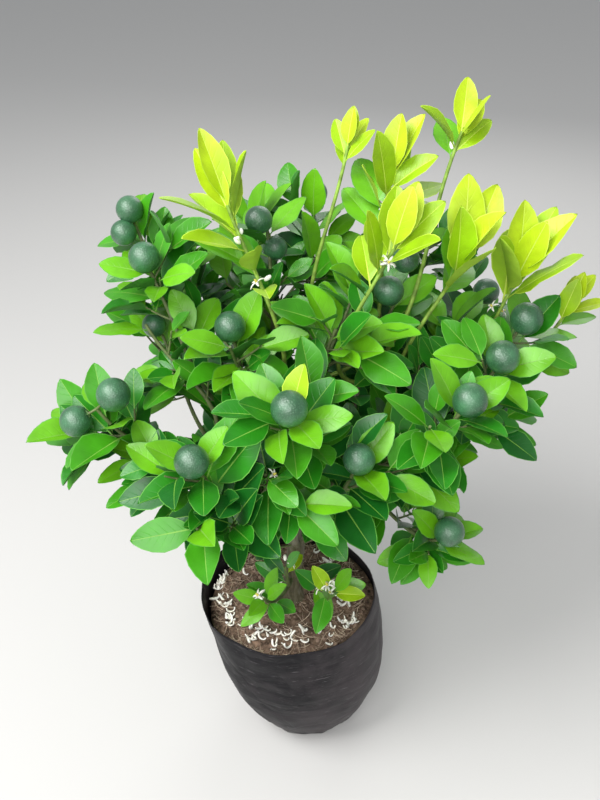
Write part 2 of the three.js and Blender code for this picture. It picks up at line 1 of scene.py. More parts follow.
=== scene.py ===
# %% [markdown]
# # A young limequat bush in its nursery bag
# A plain model of this bush already stands on the bench: a bag, its soil, a trunk, boughs, and shoots
# whose leaves are thin wedges. It has the right size and the right places, but no finish.
# This lesson dresses it. Every plain solid is replaced by the piece that it stands for.
# The plan of the bush is written in millimetres, as a gardener would measure it. MM turns it to metres.

# %% Load the plain model
import math

import bpy
import numpy as np
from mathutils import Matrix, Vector, noise


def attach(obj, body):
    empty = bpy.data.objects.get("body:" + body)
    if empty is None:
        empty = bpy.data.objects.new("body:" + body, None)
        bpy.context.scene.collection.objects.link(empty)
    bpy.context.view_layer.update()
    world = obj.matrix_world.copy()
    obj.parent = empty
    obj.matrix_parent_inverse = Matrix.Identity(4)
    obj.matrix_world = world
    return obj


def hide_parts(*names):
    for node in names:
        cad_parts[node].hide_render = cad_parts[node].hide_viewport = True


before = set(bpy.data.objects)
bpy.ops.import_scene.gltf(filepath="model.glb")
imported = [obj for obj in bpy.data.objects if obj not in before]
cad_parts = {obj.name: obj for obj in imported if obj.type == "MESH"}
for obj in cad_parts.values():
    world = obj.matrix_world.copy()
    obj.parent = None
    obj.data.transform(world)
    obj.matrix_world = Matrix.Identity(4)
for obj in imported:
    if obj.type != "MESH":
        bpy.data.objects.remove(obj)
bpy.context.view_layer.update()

MM = 0.001
BODY = "root"
node_names = sorted(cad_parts)

# %% [markdown]
# ## Camera, floor and light
# The bush was seen from above its bag, looking down at about 35 degrees. The focal length is given in
# pixels of a 600 by 800 picture, because that is what the perspective of the bag's mouth tells.
# An overcast sky lit it. A soft light from the upper left, one from the front, a weak one from behind and
# a pale world give the same soft shade on a plain pale floor.

# %% Camera
PICTURE = (600, 800)
FOCAL_PIXELS = 850
EYE = (-6, -521, 709)
LOOK_DOWN = 34.6
SENSOR = 36

scene = bpy.context.scene
camera_data = bpy.data.cameras.new("camera")
camera_data.sensor_width = SENSOR
camera_data.lens = SENSOR * FOCAL_PIXELS / max(PICTURE)
camera = bpy.data.objects.new("camera", camera_data)
camera.location = [value * MM for value in EYE]
camera.rotation_euler = (math.radians(90 - LOOK_DOWN), 0, 0)
scene.collection.objects.link(camera)
scene.camera = camera
scene.view_settings.view_transform = "Standard"
print("camera lens:", round(camera_data.lens, 2))


# %% Soft lights
LIGHTS = {
    "overhead": dict(place=(-0.85, -0.45, 1.6), size=1.0, watts=30, aim=(0, 0, 0.3)),
    "front": dict(place=(-0.3, -1.45, 1.25), size=1.3, watts=23, aim=(0, 0, 0.2)),
    "rear": dict(place=(0.4, 1.4, 1.1), size=1.0, watts=6, aim=(0, 0, 0.3)),
}
SKY = {"Color": (0.93, 0.96, 1.0, 1), "Strength": 0.5}


def soft_light(name, place, size, watts, aim):
    data = bpy.data.lights.new(name, "AREA")
    data.shape = "DISK"
    data.size = size
    data.energy = watts
    light = bpy.data.objects.new(name, data)
    light.location = place
    light.rotation_euler = (Vector(aim) - Vector(place)).to_track_quat("-Z", "Y").to_euler()
    scene.collection.objects.link(light)


for name, values in LIGHTS.items():
    soft_light(name, **values)

world = bpy.data.worlds.new("overcast")
world.use_nodes = True
for title, value in SKY.items():
    world.node_tree.nodes["Background"].inputs[title].default_value = value
scene.world = world
print("lights:", list(LIGHTS))

# %% [markdown]
# ## Node trees written as sums
# A finish is a sum of patterns. This small class wraps a socket, so that `1 - mask` or `grain * 0.3`
# adds its Math node by itself. Vectors go through Vector Math. The recipe's `add` makes any other node
# from its type, its settings and what its sockets take. Nodes could be placed by hand as well, but a sum is
# quicker to read and to change.


# %% A socket that can be used in sums
class Wire:
    def __init__(self, recipe, socket):
        self.recipe = recipe
        self.socket = socket

    def is_vector(self):
        return self.socket.type in ("VECTOR", "RGBA")

    def __add__(self, other):
        return self.recipe.sum("ADD", self, other)

    __radd__ = __add__

    def __sub__(self, other):
        return self.recipe.sum("SUBTRACT", self, other)

    def __rsub__(self, other):
        return self.recipe.sum("SUBTRACT", other, self)

    def __mul__(self, other):
        return self.recipe.product(self, other)

    __rmul__ = __mul__

    def __pow__(self, other):
        return self.recipe.sum("POWER", self, other)


# %% A recipe that adds nodes to a tree
class Recipe:
    def __init__(self, tree):
        self.tree = tree

    def add(self, kind, settings=None, inputs=None, output=0):
        node = self.tree.nodes.new(kind)
        for name, value in (settings or {}).items():
            if name == "stops":
                self.set_stops(node.color_ramp, value)
            else:
                setattr(node, name, value)
        for key, value in (inputs or {}).items():
            self.give(self.find(node.inputs, key), value)
        return Wire(self, self.find(node.outputs, output))

    def find(self, sockets, key):
        shown = [socket for socket in sockets if socket.enabled]
        if isinstance(key, int):
            return shown[key]
        return next(socket for socket in shown if key in (socket.identifier, socket.name))

    def give(self, socket, value):
        if isinstance(value, Wire):
            self.tree.links.new(value.socket, socket)
        else:
            socket.default_value = value

    def set_stops(self, ramp, stops):
        while len(ramp.elements) < len(stops):
            ramp.elements.new(1)
        for element, (place, colour) in zip(ramp.elements, stops):
            element.position = place
            element.color = colour

    def vectors_of(self, *values):
        return [value for value in values if isinstance(value, Wire) and value.is_vector()]

    def sum(self, operation, first, second):
        kind = "ShaderNodeVectorMath" if self.vectors_of(first, second) else "ShaderNodeMath"
        return self.add(kind, {"operation": operation}, {0: first, 1: second})

    def product(self, first, second):
        vectors = self.vectors_of(first, second)
        if len(vectors) != 1:
            return self.sum("MULTIPLY", first, second)
        amount = second if vectors[0] is first else first
        return self.add("ShaderNodeVectorMath", {"operation": "SCALE"}, {
            "Vector": vectors[0], "Scale": amount})

    def cross(self, first, second):
        return self.add("ShaderNodeVectorMath", {"operation": "CROSS_PRODUCT"}, {0: first, 1: second})

    def least(self, first, second):
        return self.sum("MINIMUM", first, second)

    def size(self, value):
        return self.add("ShaderNodeMath", {"operation": "ABSOLUTE"}, {0: value})

    def wave(self, value):
        return self.add("ShaderNodeMath", {"operation": "SINE"}, {0: value})

    def noise(self, place, scale, detail=3, roughness=0.55):
        return self.add("ShaderNodeTexNoise", inputs={
            "Vector": place, "Scale": scale, "Detail": detail, "Roughness": roughness}, output="Fac")


# %% [markdown]
# ## The plan of the crown
# The bush branches by one rule. The trunk ends in a rounded head, each bough leaves that head in its own
# direction and ends in a fork, each branch ends in a fork, and each shoot's stem carries leaves on a
# fixed turn, down from its tip. Every twig could be modelled by hand, but a rule is easier to change. Only
# the shoots' tips, leaf sizes and fruit are stated one by one.

# %% Sizes of the wood, leaves and fruit, in millimetres
GAP = 0.3
BAG = dict(height=150, base=44, belly=75, belly_height=110, fullness=2.4)
SLUMP = dict(mouth_shift=-17, bend=2.2, mouth_oval=0.017, lump=0.014, pleat=0.008)
SOIL = dict(level=140, edge_drop=5, slope=6, seat=18, level_radius=34)
TRUNK = dict(flare_radius=13, radius=8.6, head_radius=7.2, flare_height=16, head_height=62, lean=6)
BOUGH = dict(share=0.5, start=3.9, tip=3.4, steps=3)
BRANCH = dict(share=0.54, start=2.7, tip=2.6, steps=3)
STEM = dict(start=1.9, tip=1.3, steps=4, outward=0.5, rise=0.39)
TWIG = dict(start=1.4, tip=1.1, steps=1, share=0.5, next=-0.16, vary=0.1, spread=1, rise=0.15, leaves=4,
            shortest=0.75, vary_long=0.3, turns=(0, 1.3, 2.6, 3.9, 5.2))
FORK = dict(apart=1.12, from_back=1.65, rounds=80, reach=0.42, spare=0.03)
LEAF = dict(petiole=0.13, arch=0.16, first_gap=2.6, widest_gap=9, turn=2.399963, roll=0.4, droop=-0.04,
            lowest=-0.16, below_fruit=5, below_tip=2.5, last_share=0.12, old_at=7, full_at=4, full_size=1.05,
            forward=0.35)
VARY = dict(bearing=0.5, pitch=0.35, lift=0.2, length=0.22)
MATURE = dict(tip_pitch=0.62, foot_pitch=1.16, lift=0.1, tip_size=0.86, slender=0.51, gap_growth=0.65,
              near=0.8)
YOUNG = dict(tip_pitch=0.22, foot_pitch=0.8, lift=0.5, tip_size=0.95, slender=0.45, gap_growth=0.3,
             near=0.4)
CLEAR = dict(spot=2.4, free_share=0.28, wood=1.2, every=4, bag_margin=7, bag_top=5)
OPEN_SIDE = (1.2, 2.2, 3.2, 4.3, 5.5, 6.8, 8.2)
OPEN_WIDTH = 0.8
TRUNK_SPOTS = (0, 5, 10, 16, 22, 28, 34, 40, 46, 52, 58, 62)
GAPS = ((-94, 6, 329, 12), (139, -20, 291, 14), (-69, 39, 429, 8), (-130, 43, 365, 10))
GAP_STEPS = 10
print("bag:", BAG["height"], "mm tall and", 2 * BAG["belly"], "mm across")


# %% The shoots, branch by branch
def shoot(tip, leaves, leaf, twigs=1, fruit=(), young=False, height=None, slender=MATURE["slender"]):
    return dict(tip=tip, leaves=leaves, leaf=leaf, twigs=twigs, fruit=fruit, young=young, height=height,
                slender=slender)


def tuft(tip, leaves, leaf, fruit=(), slender=YOUNG["slender"]):
    return shoot(tip, leaves, leaf, twigs=0, fruit=fruit, young=True, slender=slender)


CROWN = {
    "front": {
        "front_left": {
            "left_front": shoot((-77, -71, 343), 12, 49, fruit=[(-1, -9, 12, 24)]),
            "left_skirt": shoot((-97, -54, 322), 9, 46),
            "front_low": shoot((-30, -66, 332), 9, 43),
        },
        "front_right": {
            "front_middle": shoot((-12, -61, 379), 13, 49, fruit=[(-1, -9, 12, 25)]),
            "front_right": shoot((35, -52, 329), 12, 47, fruit=[(0, -8, 12, 23)]),
            "centre_low": shoot((72, -22, 332), 11, 47),
        },
    },
    "left": {
        "left_low": {
            "left_tip": shoot((-155, -12, 350), 13, 49, fruit=[(-16, -3, -9, 24), (16, -8, 18, 25)]),
            "left_middle": shoot((-124, 46, 388), 10, 45),
            "left_shade": shoot((-118, 80, 358), 10, 47, fruit=[(-5, -5, 13, 20)]),
        },
        "left_high": {
            "left_upper": shoot((-121, 68, 425), 14, 49, fruit=[(-1, -8, 12, 24)]),
            "left_rear": shoot((-138, 120, 436), 15, 47, fruit=[(-8, -10, -1, 21), (-3, -1, 15, 22)]),
            "left_back_low": shoot((-134, 122, 336), 9, 49),
        },
    },
    "right": {
        "right_low": {
            "right_low": shoot((108, -32, 243), 10, 40, fruit=[(1, -8, 11, 24)]),
            "right_under": shoot((88, 38, 294), 8, 45),
            "right_back_low": shoot((114, 92, 296), 9, 49),
        },
        "right_middle": {
            "right_middle": shoot((110, -32, 365), 12, 49, fruit=[(1, -8, 12, 25)]),
            "right_upper": shoot((141, 9, 376), 11, 49, fruit=[(-1, -9, 11, 25)]),
            "right_top": shoot((162, 43, 387), 12, 54, fruit=[(1, -8, 12, 25)]),
        },
        "right_high": {
            "right_young": tuft((158, 56, 424), 11, 61),
            "right_inner": tuft((113, 40, 446), 9, 58),
            "right_edge": tuft((204, 62, 396), 6, 34),
            "right_rear": shoot((144, 108, 368), 11, 50, fruit=[(6, 8, 12, 22)]),
        },
    },
    "top": {
        "top_left": {
            "upper_left": shoot((-58, 39, 383), 12, 49, fruit=[(0, -9, 12, 24)]),
            "young_left": tuft((-57, 45, 484), 14, 54, slender=0.35),
            "upper_rear": shoot((-32, 112, 436), 12, 49, fruit=[(-6, -12, 14, 22), (6, -2, -14, 20)]),
        },
        "top_right": {
            "upper_right": shoot((67, 54, 405), 12, 50, fruit=[(-7, -9, 12, 23)]),
            "young_middle": tuft((62, 28, 464), 10, 48, fruit=[(8, 10, -18, 20)]),
            "young_thin_right": tuft((110, 88, 522), 6, 38),
        },
        "top_middle": {
            "young_tall": tuft((62, 84, 492), 11, 50),
            "young_thin_left": tuft((30, 105, 510), 6, 32),
            "middle": shoot((20, 14, 402), 12, 50, twigs=2),
        },
    },
    "back": {
        "back_left": {
            "back_left": shoot((-98, 158, 366), 11, 50, fruit=[(-4, 9, 12, 24)]),
            "back_left_low": shoot((-66, 148, 286), 9, 49),
            "back_left_high": shoot((-48, 158, 420), 12, 50),
        },
        "back_right": {
            "back_right": shoot((98, 158, 404), 11, 50, fruit=[(3, 9, 12, 24)]),
            "back_right_low": shoot((48, 156, 290), 9, 49),
            "back_middle": shoot((6, 162, 432), 12, 50, fruit=[(0, 10, 12, 23)]),
        },
    },
}

SUCKERS = {
    "foot_left": shoot((-35, -46, 186), 9, 31, twigs=0, height=18, slender=0.44),
    "foot_front": shoot((22, -42, 190), 9, 32, twigs=0, height=34, slender=0.48),
    "foot_middle": shoot((-18, -31, 206), 8, 33, twigs=0, height=27, slender=0.4),
}
crown_shoots = [name for branches in CROWN.values() for shoots in branches.values() for name in shoots]
print("planned shoots:", len(crown_shoots) + len(SUCKERS))


# %% Points, directions and chances
def point(x, y, z):
    return np.array((x, y, z), float)


def length(vector):
    return math.sqrt(float(vector @ vector))


def unit(vector):
    return vector / (length(vector) or 1)


def mix(first, second, share):
    return first + (second - first) * share


def mean(points):
    return sum(points) / len(points)


def angle_between(first, second):
    return math.acos(max(-1, min(1, float(first @ second) / (length(first) * length(second)))))


def turned(vector, axis, angle):
    return (vector * math.cos(angle) + np.cross(axis, vector) * math.sin(angle)
            + axis * float(axis @ vector) * (1 - math.cos(angle)))


class Dice:
    """The same chances in every run, from 0 to 1."""

    def __init__(self, seed):
        self.state = seed

    def roll(self):
        self.state = (self.state * 1664525 + 1013904223) % 2 ** 32
        return self.state / 2 ** 32

    def between(self, low, high):
        return mix(low, high, self.roll())


def seed_of(name):
    number = 7
    for letter in name:
        number = (number * 31 + ord(letter)) % 2 ** 32
    return number


UP = point(0, 0, 1)
AWAY = unit(point(0.31, 0.95, 0.05))
LIGHT = unit(point(-0.1, -0.4, 1))
VISITOR = point(*EYE)
print("the light falls from", [round(float(value), 2) for value in LIGHT])


# %% [markdown]
# ## Limbs as curves
# A limb is a curve from its fork to its tip. The plain model follows it in a few straight steps, and so do
# the places of its leaves. The finished limb follows the smooth curve, which lies within a few
# millimetres of those steps, so each leaf is carried over to the curve by its share of the way.


# %% A limb's middle line
class Line:
    def __init__(self, handles, steps):
        self.handles = handles
        self.points = [self.smooth(step / steps) for step in range(steps + 1)]
        self.length = sum(length(b - a) for a, b in zip(self.points, self.points[1:]))

    def smooth(self, share):
        rest = list(self.handles)
        while len(rest) > 1:
            rest = [mix(a, b, share) for a, b in zip(rest, rest[1:])]
        return rest[0]

    def heading(self, share):
        low = max(0, share - 0.01)
        return unit(self.smooth(min(1, low + 0.02)) - self.smooth(low))

    def step(self, share):
        last = len(self.points) - 2
        index = min(last, math.floor(share * (last + 1)))
        return self.points[index], self.points[index + 1], share * (last + 1) - index

    def at(self, share):
        start, end, part = self.step(share)
        return mix(start, end, part)

    def along(self, share):
        start, end, _ = self.step(share)
        return unit(end - start)


def limb_line(start, direction, tip, wood):
    knee = start + direction * length(tip - start) * FORK["reach"]
    return Line([start, knee, tip], wood["steps"])


def stem_line(start, direction, tip, wood=STEM):
    reach = length(tip - start) * wood["rise"]
    outward = tip - head
    outward[2] = 0
    arrival = unit(unit(outward) * wood["outward"] + UP)
    return Line([start, start + direction * reach, tip - arrival * reach, tip], wood["steps"])


# %% Directions that a fork's limbs take
def spread(directions, apart, back):
    for _ in range(FORK["rounds"]):
        for i, first in enumerate(directions):
            for second in directions[i + 1:]:
                angle = angle_between(first, second)
                if angle < apart:
                    push = unit(second - first) * (apart - angle) / 2
                    first[:] = unit(first - push)
                    second[:] = unit(second + push)
        for first in directions:
            short = FORK["from_back"] - angle_between(first, back)
            if short > 0:
                first[:] = unit(first + unit(first - back) * short)
    return directions


def fork_lines(fork, back, radius, tips, wood, bend=limb_line):
    apart = 2 * math.asin((wood["start"] + GAP) / (radius + GAP)) + FORK["spare"]
    directions = spread([unit(tip - fork) for tip in tips], max(apart, FORK["apart"]), back)
    starts = [fork + direction * (radius + GAP) for direction in directions]
    return [bend(start, direction, tip, wood) for start, direction, tip in zip(starts, directions, tips)]


# %% The bag's shape and the trunk's line
def bag_radius(z):
    rise = min(z, BAG["belly_height"]) / BAG["belly_height"]
    return BAG["belly"] - (BAG["belly"] - BAG["base"]) * (1 - rise) ** BAG["fullness"]


def middle_at(z):
    return SLUMP["mouth_shift"] * (max(0, z) / BAG["height"]) ** SLUMP["bend"]


def slumped(x, y, z):
    share = z / BAG["height"]
    angle = math.atan2(y, x)
    swell = (1 + SLUMP["mouth_oval"] * share * math.cos(2 * angle)
             + SLUMP["lump"] * math.sin(math.pi * share) * math.cos(3 * angle + 1.1)
             + SLUMP["pleat"] * share * math.cos(7 * angle - 0.6))
    return point(x * swell + middle_at(z), y * swell, z)


foot = point(middle_at(SOIL["level"]), 0, SOIL["level"] + GAP)
head = foot + point(TRUNK["lean"], 3, TRUNK["head_height"])


def trunk_centre(height):
    share = height / TRUNK["head_height"]
    return point(mix(foot[0], head[0], share), mix(foot[1], head[1], share ** 2), foot[2] + height)


def trunk_radius(height):
    flare = max(0, 1 - height / TRUNK["flare_height"]) ** 2
    taper = mix(TRUNK["radius"], TRUNK["head_radius"], height / TRUNK["head_height"])
    return taper + flare * (TRUNK["flare_radius"] - TRUNK["radius"])


print("trunk from", [round(float(value)) for value in foot], "to", [round(float(value)) for value in head])


# %% [markdown]
# ## Leaves that keep out of each other's way
# Every leaf, twig and fruit is remembered as a row of small balls. A new leaf is tried where the rule puts
# it. If its balls meet another's, it is turned, opened or shortened, and left out when nothing helps.
# A physics run could push leaves apart too, but this gives the same crown every time.


# %% What has grown so far
def extent(spots):
    middle = spots["points"].mean(axis=0)
    return middle, (np.linalg.norm(spots["points"] - middle, axis=1) + spots["radii"]).max()


class Garden:
    def __init__(self):
        self.owners, self.kinds, self.middles, self.reaches, self.bodies = [], [], [], [], []

    def remember(self, owner, kind, spots):
        middle, reach = extent(spots)
        self.owners.append(owner)
        self.kinds.append(kind)
        self.middles.append(middle)
        self.reaches.append(reach)
        self.bodies.append(spots)

    def near_bag(self, points):
        sides = [math.hypot(x - middle_at(min(z, BAG["height"])), y) for x, y, z in points]
        low = points[:, 2] < BAG["height"] + CLEAR["bag_top"]
        near = np.array(sides) < BAG["belly"] + CLEAR["bag_margin"]
        return bool((low & near).any() or (points[:, 2] < CLEAR["bag_top"]).any())

    def blocked(self, owner, spots, near=MATURE["near"]):
        if self.near_bag(spots["points"]):
            return True
        middle, reach = extent(spots)
        away = np.linalg.norm(np.array(self.middles) - middle, axis=1)
        for index in np.nonzero(away <= np.array(self.reaches) + reach)[0]:
            own = self.owners[index] == owner
            if own and self.kinds[index] == "wood":
                continue
            share = near if own and self.kinds[index] == "leaf" else 1
            if self.touches(spots, self.bodies[index], own, share):
                return True
        return False

    def touches(self, first, second, own, share):
        a = first["shares"] > CLEAR["free_share"] if own else slice(None)
        b = second["shares"] > CLEAR["free_share"] if own else slice(None)
        apart = np.linalg.norm(first["points"][a][:, None] - second["points"][b][None], axis=2)
        room = (first["radii"][a][:, None] + second["radii"][b][None]) * share
        return bool((apart < room).any())


def spots_from(rows):
    points, radii, shares = [np.array(values) for values in zip(*rows)]
    return dict(points=points, radii=radii, shares=shares)


def wood_spots(line, wood):
    count = math.ceil(line.length / CLEAR["every"])
    return spots_from([(line.at(i / count), mix(wood["start"], wood["tip"], i / count) + CLEAR["wood"], 1)
                       for i in range(count + 1)])


garden = Garden()


# %% The shape and place of a leaf
def blade_share(share):
    if share <= LEAF["petiole"]:
        return 0
    return math.sin(math.pi * ((share - LEAF["petiole"]) / (1 - LEAF["petiole"])) ** 0.92) ** 0.75


def leaf_point(leaf, along, across):
    return (leaf["base"] + leaf["along"] * leaf["length"] * along
            - leaf["face"] * leaf["arch"] * leaf["length"] * along ** 2
            + leaf["side"] * across * blade_share(along) * leaf["width"] / 2)


SPOT_SHARES = [mix(LEAF["petiole"], 1, i / 11) for i in range(1, 12)]


def leaf_spots(leaf, radius=CLEAR["spot"]):
    return spots_from([(leaf_point(leaf, share, j / 2), radius, share)
                       for share in SPOT_SHARES for j in range(-2, 3)])


def outward_from(stem, bearing):
    side = unit(np.cross(stem, AWAY))
    return side * math.cos(bearing) + np.cross(stem, side) * math.sin(bearing)


def leaf_at(wanted, turn, open_by, size):
    stem, pitch = wanted["stem"], wanted["pitch"] + open_by
    outward = outward_from(stem, wanted["bearing"] + turn)
    along = unit(stem * math.cos(pitch) + outward * math.sin(pitch) + UP * wanted["lift"])
    along[2] = max(along[2], LEAF["lowest"])
    along = unit(along)
    face = LIGHT + stem * LEAF["forward"]
    face = turned(unit(face - along * float(face @ along)), along, wanted["roll"])
    long = wanted["length"] * size
    return dict(base=wanted["base"], along=along, face=face, side=np.cross(along, face), arch=wanted["arch"],
                length=long, width=long * wanted["slender"])


TRIES = [(0, 0, 1), (0.45, 0, 1), (-0.45, 0, 1), (0, 0.4, 1), (0.8, 0.3, 0.9), (-0.8, 0.3, 0.9),
         (0.2, 0.5, 0.75), (-0.5, -0.3, 0.75)]


def placed_leaf(owner, wanted, radius=CLEAR["spot"]):
    for turn, open_by, size in TRIES:
        leaf = leaf_at(wanted, turn, open_by, size)
        spots = leaf_spots(leaf, radius)
        if not garden.blocked(owner, spots, wanted["near"]):
            garden.remember(owner, "leaf", spots)
            return leaf
    return None


# %% Leaves and side twigs on one stem
def wanted_leaf(line, share, number, first_turn, plan, chances):
    habit = YOUNG if plan["young"] else MATURE
    age = min(1, number / LEAF["old_at"])
    size = mix(habit["tip_size"], LEAF["full_size"], min(1, number / LEAF["full_at"]))
    return dict(
        base=line.at(share), stem=line.along(share), age=age, slender=plan["slender"], near=habit["near"],
        bearing=first_turn + number * LEAF["turn"] + chances[0] * VARY["bearing"],
        pitch=mix(habit["tip_pitch"], habit["foot_pitch"], age) + chances[1] * VARY["pitch"],
        lift=mix(habit["lift"], -LEAF["droop"], age) + chances[2] * VARY["lift"],
        length=plan["leaf"] * size * (1 + chances[3] * VARY["length"]),
        roll=chances[4] * 2 * LEAF["roll"], arch=LEAF["arch"] * (1 + chances[1]))


def leaves_on(owner, line, count, plan, dice, bears_fruit=False, radius=CLEAR["spot"]):
    found = []
    gap = LEAF["first_gap"]
    wider = YOUNG["gap_growth"] if plan["young"] else MATURE["gap_growth"]
    down = LEAF["below_fruit"] if bears_fruit else LEAF["below_tip"]
    first_turn = dice.roll() * 2 * math.pi
    for number in range(count):
        chances = [dice.roll() - 0.5 for _ in range(5)]
        share = 1 - down / line.length
        down += gap
        gap = min(gap + wider, LEAF["widest_gap"])
        if share < LEAF["last_share"]:
            break
        wanted = wanted_leaf(line, share, number, first_turn, plan, chances)
        leaf = placed_leaf(owner, wanted, radius)
        if leaf:
            leaf.update(age=wanted["age"], root=line.smooth(share))
            found.append(leaf)
    return found


def twig_from(owner, line, share, long, bearing, wood):
    start, stem = line.at(share), line.along(share)
    for turn in wood["turns"]:
        along = unit(stem + outward_from(stem, bearing + turn) * wood["spread"])
        twig = limb_line(start, along, start + along * long + UP * long * wood["rise"], wood)
        spots = wood_spots(twig, wood)
        free = {key: value[1:] for key, value in spots.items()}
        if not garden.blocked(owner, free):
            garden.remember(owner, "wood", spots)
            twig.shift = line.smooth(share) - start
            return twig
    return None


def twigs_on(owner, line, plan, dice):
    twigs = []
    for i in range(plan["twigs"]):
        share = TWIG["share"] + TWIG["next"] * i + (dice.roll() - 0.5) * TWIG["vary"]
        bearing = dice.roll() * 2 * math.pi
        long = plan["leaf"] * (TWIG["shortest"] + TWIG["vary_long"] * dice.roll())
        twig = twig_from(owner, line, share, long, bearing, TWIG)
        if twig:
            twigs.append(twig)
    return twigs


# %% One shoot, with its fruit and leaves
def fruit_on(owner, tip, row):
    centre = tip + point(*row[:3])
    radius = row[3] / 2
    ahead = unit(VISITOR - centre)
    open_side = OPEN_SIDE if row[1] < 0 else ()
    balls = [(centre, radius, 1)]
    balls += [(centre + ahead * radius * reach, radius * OPEN_WIDTH, 1) for reach in open_side]
    garden.remember(owner, "fruit", spots_from(balls))
    return dict(centre=centre, radius=radius, tip=tip)


def start_shoot(name, group, plan, line):
    garden.remember(name, "wood", wood_spots(line, STEM))
    fruit = [fruit_on(name, line.at(1), row) for row in plan["fruit"]]
    return dict(name=name, group=group, plan=plan, line=line, fruit=fruit)


def leaf_out(grown):
    name, plan, line = grown["name"], grown["plan"], grown["line"]
    dice = Dice(seed_of(name))
    grown["twigs"] = twigs_on(name, line, plan, dice)
    grown["leaves"] = leaves_on(name, line, plan["leaves"], plan, dice, bool(plan["fruit"]))
    for twig in grown["twigs"]:
        grown["leaves"] += [{**leaf, "root": leaf["root"] + twig.shift}
                            for leaf in leaves_on(name, twig, TWIG["leaves"], plan, dice)]


# %% Keep the trunk and the open gaps free
garden.remember("trunk", "wood", spots_from([
    (trunk_centre(height), trunk_radius(height) + CLEAR["wood"], 1) for height in TRUNK_SPOTS]))

for *middle, radius in GAPS:
    ahead = unit(VISITOR - point(*middle))
    garden.remember("", "gap", spots_from([
        (point(*middle) + ahead * step * radius, radius, 1) for step in range(-GAP_STEPS, GAP_STEPS + 1)]))

print("places kept free:", len(garden.bodies))

# %% Grow the crown of the plan
tips_of = {bough: [[point(*plan["tip"]) for plan in shoots.values()] for shoots in branches.values()]
           for bough, branches in CROWN.items()}
branch_tips = {bough: [mix(head, mean(tips), BRANCH["share"]) for tips in rows]
               for bough, rows in tips_of.items()}
bough_tips = {bough: mix(head, mean(tips), BOUGH["share"]) for bough, tips in branch_tips.items()}
bough_lines = fork_lines(head, -UP, TRUNK["head_radius"], list(bough_tips.values()), BOUGH)

limbs = []
shoots_grown = []
for (bough, branches), bough_line in zip(CROWN.items(), bough_lines):
    limbs.append((f"bough_{bough}", bough, bough_line, BOUGH))
    garden.remember(f"bough_{bough}", "wood", wood_spots(bough_line, BOUGH))
    lines = fork_lines(bough_tips[bough], -bough_line.along(1), BOUGH["tip"], branch_tips[bough], BRANCH)
    for (branch, plans), line, tips in zip(branches.items(), lines, tips_of[bough]):
        limbs.append((f"branch_{branch}", bough, line, BRANCH))
        garden.remember(f"branch_{branch}", "wood", wood_spots(line, BRANCH))
        stems = fork_lines(line.at(1), -line.along(1), BRANCH["tip"], tips, STEM, stem_line)
        for (name, plan), stem in zip(plans.items(), stems):
            shoots_grown.append(start_shoot(f"shoot_{name}", bough, plan, stem))

for name, plan in SUCKERS.items():
    tip, centre = point(*plan["tip"]), trunk_centre(plan["height"])
    outward = unit((tip - centre) * point(1, 1, 0))
    start = centre + outward * (trunk_radius(plan["height"]) + GAP)
    shoots_grown.append(start_shoot(f"shoot_{name}", "foot", plan, stem_line(start, outward, tip)))

for grown in shoots_grown:
    leaf_out(grown)
print("leaves of the plan:", sum(len(grown["leaves"]) for grown in shoots_grown))

# %% [markdown]
# ## Finer twigs inside the crown
# The plan holds about a third of the real leaves. The same rule now grows small side twigs along every stem
# and limb, each with a few smaller leaves. A leaf that would reach further out than its shoot already
# does is left out, so the crown grows denser but no larger, and the gaps between the shoots stay open.

# %% Fill every shoot with finer twigs
FINE = dict(start=1.0, tip=0.7, steps=1, spread=1.3, rise=0.15, every=15, first=0.22, last=0.95, leaves=4,
            size=0.88, spot=0.7, shortest=0.3, longest=0.7, turns=(0, 1.6, 3.1, 4.7))
INNER = dict(leaf=44, every=13, lowest=226)


def reach_of(grown):
    tips = [leaf_point(leaf, 1, 0) for leaf in grown["leaves"]] + [grown["line"].at(0), grown["line"].at(1)]
    middle = mean(tips)
    return middle, max(length(tip - middle) for tip in tips)


def fine_twigs(grown, line, plan, every, dice, allowed):
    count = int(line.length / every)
    for i in range(count):
        share = mix(FINE["first"], FINE["last"], (i + dice.roll()) / count)
        long = plan["leaf"] * dice.between(FINE["shortest"], FINE["longest"])
        bearing = dice.between(0, 2 * math.pi)
        twig = twig_from(grown["name"], line, share, long, bearing, FINE)
        if not twig:
            continue
        twig.shift = twig.shift + getattr(line, "shift", 0)
        leaves = leaves_on(grown["name"], twig, FINE["leaves"], plan, dice, radius=FINE["spot"])
        kept = [leaf for leaf in leaves if allowed(leaf_point(leaf, 1, 0))]
        grown["leaves"] += [{**leaf, "root": leaf["root"] + twig.shift, "age": mix(leaf["age"], 1, 0.5)}
                            for leaf in kept]
        if kept:
            grown["fine"].append(twig)


def fill_out(grown):
    dice = Dice(seed_of(grown["name"] + "_fine"))
    plan = {**grown["plan"], "leaf": grown["plan"]["leaf"] * FINE["size"]}
    middle, reach = reach_of(grown)
    for line in [grown["line"], *grown["twigs"]]:
        fine_twigs(grown, line, plan, FINE["every"], dice, lambda tip: length(tip - middle) < reach)


for grown in shoots_grown:
    grown["fine"] = []
    if not grown["plan"]["young"] and grown["group"] != "foot":
        fill_out(grown)
print("leaves with the finer twigs:", sum(len(grown["leaves"]) for grown in shoots_grown))


# %% Leafy twigs on the limbs
def leafy_limb(name, group, line):
    plan = shoot(None, 0, INNER["leaf"])
    grown = dict(name=name, group=group, plan=plan, fruit=[], twigs=[], fine=[], leaves=[])
    dice = Dice(seed_of(name + "_inner"))
    fine_twigs(grown, line, plan, INNER["every"], dice, lambda tip: tip[2] > INNER["lowest"])
    return grown


limbs_grown = [leafy_limb(name, group, line) for name, group, line, _ in limbs]
print("leaves on the limbs:", sum(len(grown["leaves"]) for grown in limbs_grown))
